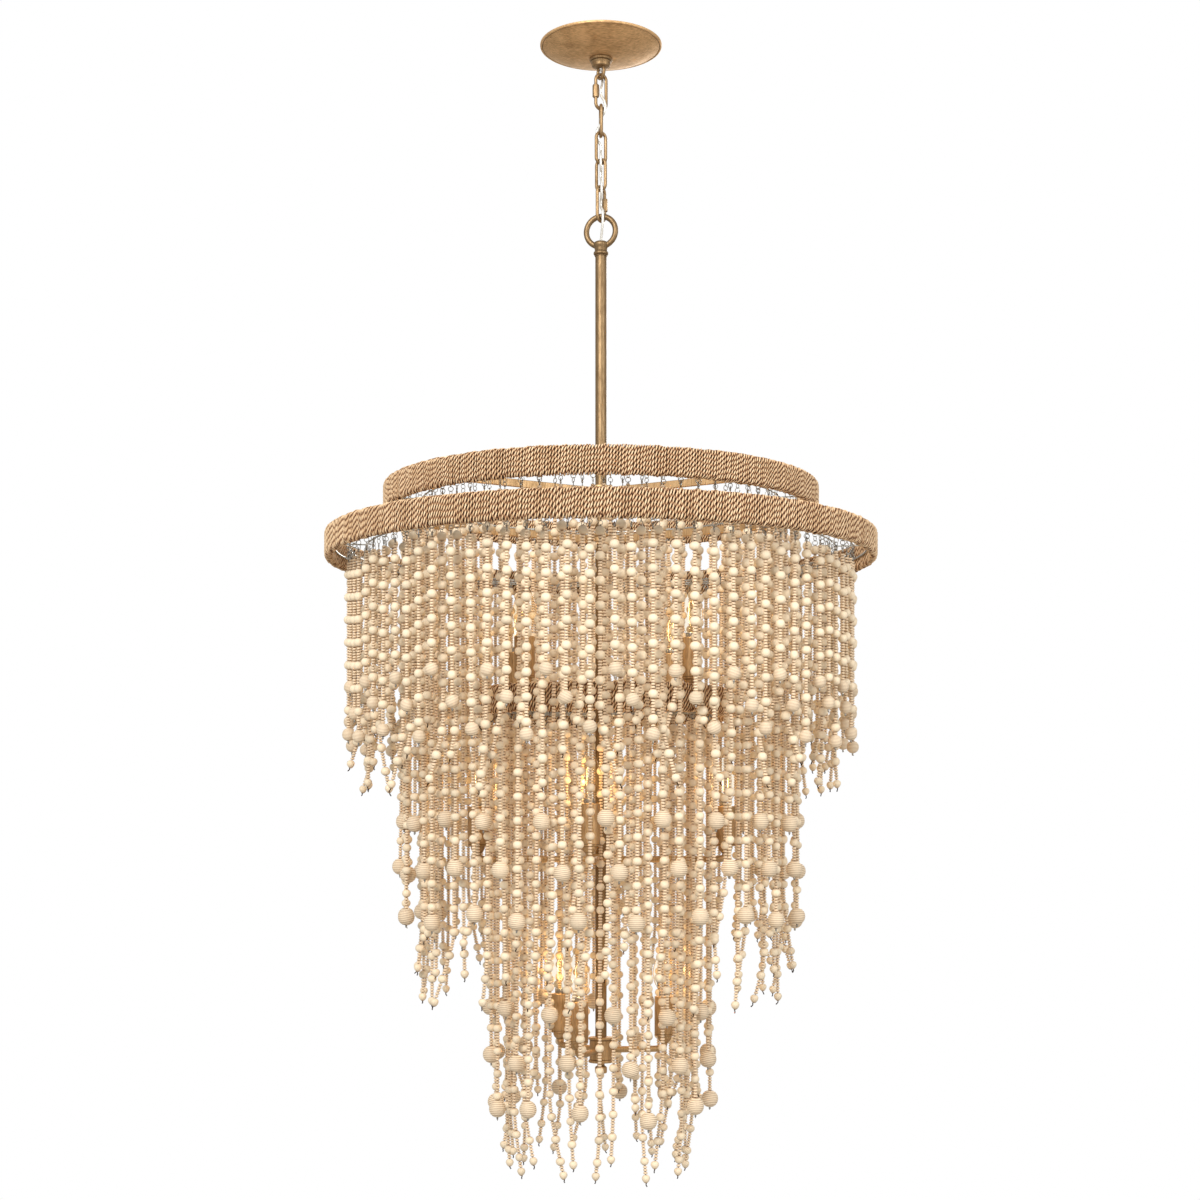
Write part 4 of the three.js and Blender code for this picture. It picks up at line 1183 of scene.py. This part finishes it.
    def turned(self, outline, sides, places, shade, lots, index, scales=None, tilts=None):
        """One turned bead at many places, with its rim shades and one lot for each bead."""
        form, faces = turn(outline, sides)
        grown, faces = copies((form, faces), places, scales, tilts)
        rim = np.tile(np.repeat(shade, sides), len(places))
        return grown, faces, index, {"lot": np.repeat(lots, len(form)), "rim": rim}

    def grooved(self, radius):
        """Half-section of a large bead with fine grooves turned into it, and their shades."""
        half = radius * LARGE_HALF
        z = np.linspace(-1, 1, GROOVES * 4 + 1)
        body = radius * np.sqrt(1 - 0.92 * np.abs(z) ** 2.15)
        wave = 0.5 - 0.5 * np.cos(z * math.pi * GROOVES)
        cut = body - 0.05 * radius * wave**2 * (np.abs(z) < 0.95)
        outline = [(1 * MM, -half * 0.99), *zip(cut, z * half, strict=True), (1 * MM, half * 0.99)]
        # The shades are painted shade in the grooves and at the string holes
        return outline, np.concatenate([[1], 0.8 * wave**3, [1]])

    def metal(self, found):
        """Jump rings, crimps, the string and the wire ends."""
        bare = {"lot": 0.0, "rim": 0.0}
        parts = []
        ring, faces = wire_ring(3.4 * MM, 0.5 * MM, 14, 5)
        for place, way, grow in found["ring"]:
            points, _ = turned_to((ring * grow, faces), math.degrees(way))
            parts.append((points + place, faces, SILVER, bare))
        if found["crimp"]:
            form = turn(profile(0, (0.3, -2), (1.1, -1.9), (1.35, -1), (1.35, 1), (1.1, 1.9), (0.3, 2)), 8)
            parts.append((*copies(form, found["crimp"]), SILVER, bare))
        parts += [(*sweep(path, 0.55 * MM, 5), DARK, bare) for path in found["string"]]
        t = np.linspace(0, 1, 5)
        for place, lean, length, kind in found["wire"]:
            path = place + t[:, None] * np.array([0, 0, -length])
            path[:, :2] += t[:, None] ** 2 * lean * length * 0.6
            path[:, 0] += 0.5 * MM * np.sin(t * 5 + lean[0] * 9)
            parts.append((*sweep(path, (0.8 if kind == DARK else 0.55) * MM, 6), kind, bare))
        return parts


class CHANDELIER_OT_lamps(bpy.types.Operator):
    """Arms, cups, candle sleeves, bulbs and the finial"""

    bl_idname = "chandelier.lamps"
    bl_label = "Candle lamps"

    def execute(self, context):
        lamps = context.scene.chandelier_lamps
        look = finishes()
        arm = lamps.arm / 2
        radius, _, top = HOOPS["inner"]
        height = top - 2 * MM - arm
        parts = [hub(HUB_RADIUS, height + arm + 3 * MM, height - arm - 3 * MM)]
        reach = radius - 13.8 * MM
        tube = sweep([(x, 0, height) for x in np.linspace(HUB_RADIUS - 2 * MM, reach, 24)], arm, 20)
        for bearing in LAMPS["upper"]["bearings"]:
            parts += [moved(tube, bearing=bearing), *self.holder(lamps, "upper", bearing, height + arm)]
        self.bulbs(lamps, look, "upper", height + arm)
        new_piece("inner_hoop_tubes", parts, [look["fitting"]], FIXTURE, ["inner_hoop_frame"])
        for level in ("middle", "lower"):
            _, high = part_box(f"bulb_{level}_1")
            foot = high.z - lamps.bulb_height - SEAT_GAP - lamps.sleeve_height - CUP_HEIGHT
            height = foot - ELBOW
            if level == "middle":
                parts = [hub(HUB_RADIUS, height + arm + 3 * MM, height - arm - 3 * MM)]
                edge = HUB_RADIUS
            else:
                parts = [hub(18.5 * MM, height + 19 * MM, height - 19 * MM, 0)]
                edge = 17 * MM
            elbow = self.elbow(edge - 2 * MM, LAMPS[level]["radius"], height, arm)
            for bearing in LAMPS[level]["bearings"]:
                parts += [moved(elbow, bearing=bearing), *self.holder(lamps, level, bearing, foot)]
            self.bulbs(lamps, look, level, foot)
            nodes = [f"{level}_lamp_arms"]
            new_piece(f"{level}_elbow_arms", parts, [look["fitting"]], FIXTURE, nodes)
        low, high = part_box("finial")
        outline = profile(low.z, (0, 0), (7.6, 0), (8.9, 1.2), (8.9, 8.6), (8, 10), (6.2, 10.8), (5.2, 12))
        knob = turned_with_hollow_shade(eased([*outline, (5.6 * MM, high.z), (0, high.z)], 0.8 * MM), 48)
        new_piece("finial_knob", [knob], [look["fitting"]], FIXTURE, ["finial"])
        return {"FINISHED"}

    def elbow(self, start, end, height, radius):
        """Tube out from the hub that turns up under its lamp."""
        path = [(x, 0, height) for x in np.linspace(start, end - ELBOW, 16)[:-1]]
        for a in np.linspace(0, math.pi / 2, 10):
            path.append((end - ELBOW + ELBOW * math.sin(a), 0, height + ELBOW - ELBOW * math.cos(a)))
        path.append((end, 0, height + ELBOW + 0.6 * MM))
        return sweep(path, radius, 20, normal=(0, 1, 0))

    def holder(self, lamps, level, bearing, foot):
        """Cup and candle sleeve, bored for the bulb's base."""
        r = lamps.sleeve / 2
        cup_top = foot + CUP_HEIGHT
        top = cup_top + lamps.sleeve_height
        cup = profile(foot, (0, -0.6), (5.4, -0.6), (6.2, 1), (8.6, 3), (10.4, 6.5), (10.5, 10.2), (0, 10.2))
        bead = profile(cup_top, (-1, 0), (0, 0.6), (0, 2), (-0.35, 2.3), (-0.35, 2.9), (0, 3.2))
        rim = profile(top, (0, -0.5), (-0.6, 0))
        sleeve = [(0, cup_top), *((r + x, z) for x, z in [*bead, *rim])]
        sleeve += profile(top, (6.6, 0), (6.6, -20), (0, -20))
        place = at(LAMPS[level]["radius"], bearing, 0)
        return [
            moved(turned_with_hollow_shade(eased(cup, 0.8 * MM, 2), 40), place),
            moved(turned_with_hollow_shade(eased(sleeve, 0.3 * MM, 2), 48), place),
        ]

    def bulbs(self, lamps, look, level, foot):
        """Pointed clear bulbs with four lit filaments on a stalk."""
        seat = foot + CUP_HEIGHT + lamps.sleeve_height + SEAT_GAP
        tip = seat + lamps.bulb_height
        glass = [
            *profile(seat, (7.4, 6), (9.5, 10), (14.6, 19)), (lamps.bulb / 2, seat + 31 * MM),
            *profile(seat, (16.4, 43), (11.5, 58), (5.6, 71)), *profile(tip, (2.1, -4), (0, 0)),
        ]
        collar = profile(seat, (0, -19.5), (6.2, -19.5), (6.2, 0), (8.1, 0.3), (8.1, 6.4), (7.5, 7), (0, 7))
        stalk = profile(seat, (0, 7), (3.6, 7), (2.4, 15), (1.5, 20), (0, 21))
        glass, collar = turn(smooth_outline(glass, 5), 32), turn(eased(collar, 0.4 * MM, 2), 32)
        forms = [(glass, 0), (collar, 1), (turn(stalk, 12), 0)]
        for i in range(4):
            a = math.radians(45 + 90 * i)
            path = profile(seat, (2, 19), (5.2, 25), (5.2, 47), (2, 52))
            forms.append((sweep([(r * math.cos(a), r * math.sin(a), z) for r, z in path], 0.42 * MM, 8), 2))
        radius, bearings = LAMPS[level]["radius"], LAMPS[level]["bearings"]
        parts = [(*moved(form, at(radius, bearing, 0)), kind) for bearing in bearings for form, kind in forms]
        nodes = [f"bulb_{level}_{i + 1}" for i in range(len(bearings))]
        kinds = [look["glass"], look["silver"], look["filament"]]
        new_piece(f"{level}_candle_bulbs", parts, kinds, FIXTURE, nodes)
        for i, bearing in enumerate(bearings):
            light = bpy.data.lights.new(f"{level}_glow_{i + 1}", "POINT")
            light.energy = lamps.glow
            light.color = tuple(bpy.context.scene.chandelier_colours.glow)
            light.shadow_soft_size = 8 * MM
            lamp = bpy.data.objects.new(light.name, light)
            lamp.location = at(radius, bearing, seat + 36 * MM)
            bpy.context.scene.collection.objects.link(lamp)
            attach(lamp, FIXTURE)


class CHANDELIER_OT_stage(bpy.types.Operator):
    """Pale floor, soft studio light and the camera"""

    bl_idname = "chandelier.stage"
    bl_label = "Stage"

    def execute(self, context):
        scene = context.scene
        disc = turn([(r, FLOOR_HEIGHT) for r in (0, 1, 3, 6, 9)], 64)
        floor = new_piece("floor", [disc], [floor_paint("rolled_floor_paint", "#E2DFDA")], None)
        world = bpy.data.worlds.new("studio")
        scene.world = world
        world.use_nodes = True
        tree = world.node_tree
        # Dim warm light from all round, seen by the camera as plain white
        dim = fill(tree, tree.nodes["Background"], {"Color": (1, 0.985, 0.96, 1), "Strength": 0.57})
        seen = node(tree, "Background", {"Color": (1, 1, 1, 1), "Strength": 1.0})
        camera_ray = node(tree, "LightPath").outputs["Is Camera Ray"]
        mixed = node(tree, "MixShader", links={"Fac": camera_ray, "1": dim, "2": seen})
        fill(tree, tree.nodes["World Output"], links={"Surface": mixed})
        for name, place, watts in (
            ("key_softbox", (-1.35, -3.5, 0.9), 42),
            ("fill_softbox", (2.8, -2.6, -0.1), 17),
            ("back_softbox", (0.8, 3.2, 0.4), 22),
        ):
            light = bpy.data.lights.new(name, "AREA")
            light.energy = watts
            light.size = 2.0
            light.spread = math.radians(90)
            light.color = (1.0, 0.98, 0.95)
            lamp = bpy.data.objects.new(name, light)
            lamp.location = place
            lamp.rotation_euler = (Vector(LIT_PLACE) - Vector(place)).to_track_quat("-Z", "Y").to_euler()
            scene.collection.objects.link(lamp)
        scene.view_settings.view_transform = "Standard"
        camera = bpy.data.cameras.new("camera")
        camera.lens = 59.37
        camera.sensor_width = 36
        camera.shift_y = 0.2058
        camera.shift_x = -0.0008
        viewer = bpy.data.objects.new("camera", camera)
        viewer.location = (0, -2.929, -1.187)
        viewer.rotation_euler = (math.pi / 2, 0, 0)
        scene.collection.objects.link(viewer)
        scene.camera = viewer
        return {"FINISHED"}


OPERATORS = (
    CHANDELIER_OT_stage,
    CHANDELIER_OT_canopy,
    CHANDELIER_OT_chain,
    CHANDELIER_OT_cord,
    CHANDELIER_OT_stem,
    CHANDELIER_OT_hoops,
    CHANDELIER_OT_strands,
    CHANDELIER_OT_lamps,
)


class CHANDELIER_PT_panel(bpy.types.Panel):
    """Buttons for the chandelier's pieces"""

    bl_idname = "CHANDELIER_PT_panel"
    bl_label = "Beaded Chandelier"
    bl_space_type = "VIEW_3D"
    bl_region_type = "UI"
    bl_category = "Chandelier"

    def draw(self, context):
        for operator in OPERATORS:
            self.layout.operator(operator.bl_idname)
        for name, kind in GROUPS.items():
            box = self.layout.box()
            for key in kind.__annotations__:
                box.prop(getattr(context.scene, name), key)


GROUPS = {
    "chandelier_chain": ChainSizes,
    "chandelier_hoops": HoopSizes,
    "chandelier_beads": BeadSizes,
    "chandelier_lamps": LampSizes,
    "chandelier_colours": FinishColours,
}


def register():
    for group in GROUPS.values():
        bpy.utils.register_class(group)
    for name, group in GROUPS.items():
        setattr(bpy.types.Scene, name, PointerProperty(type=group))
    for kind in (*OPERATORS, CHANDELIER_PT_panel):
        bpy.utils.register_class(kind)


def unregister():
    for kind in (CHANDELIER_PT_panel, *reversed(OPERATORS)):
        bpy.utils.unregister_class(kind)
    for name, group in GROUPS.items():
        delattr(bpy.types.Scene, name)
        bpy.utils.unregister_class(group)


def main():
    register()
    for operator in OPERATORS:
        group, name = operator.bl_idname.split(".")
        getattr(getattr(bpy.ops, group), name)()


if __name__ == "__main__":
    main()
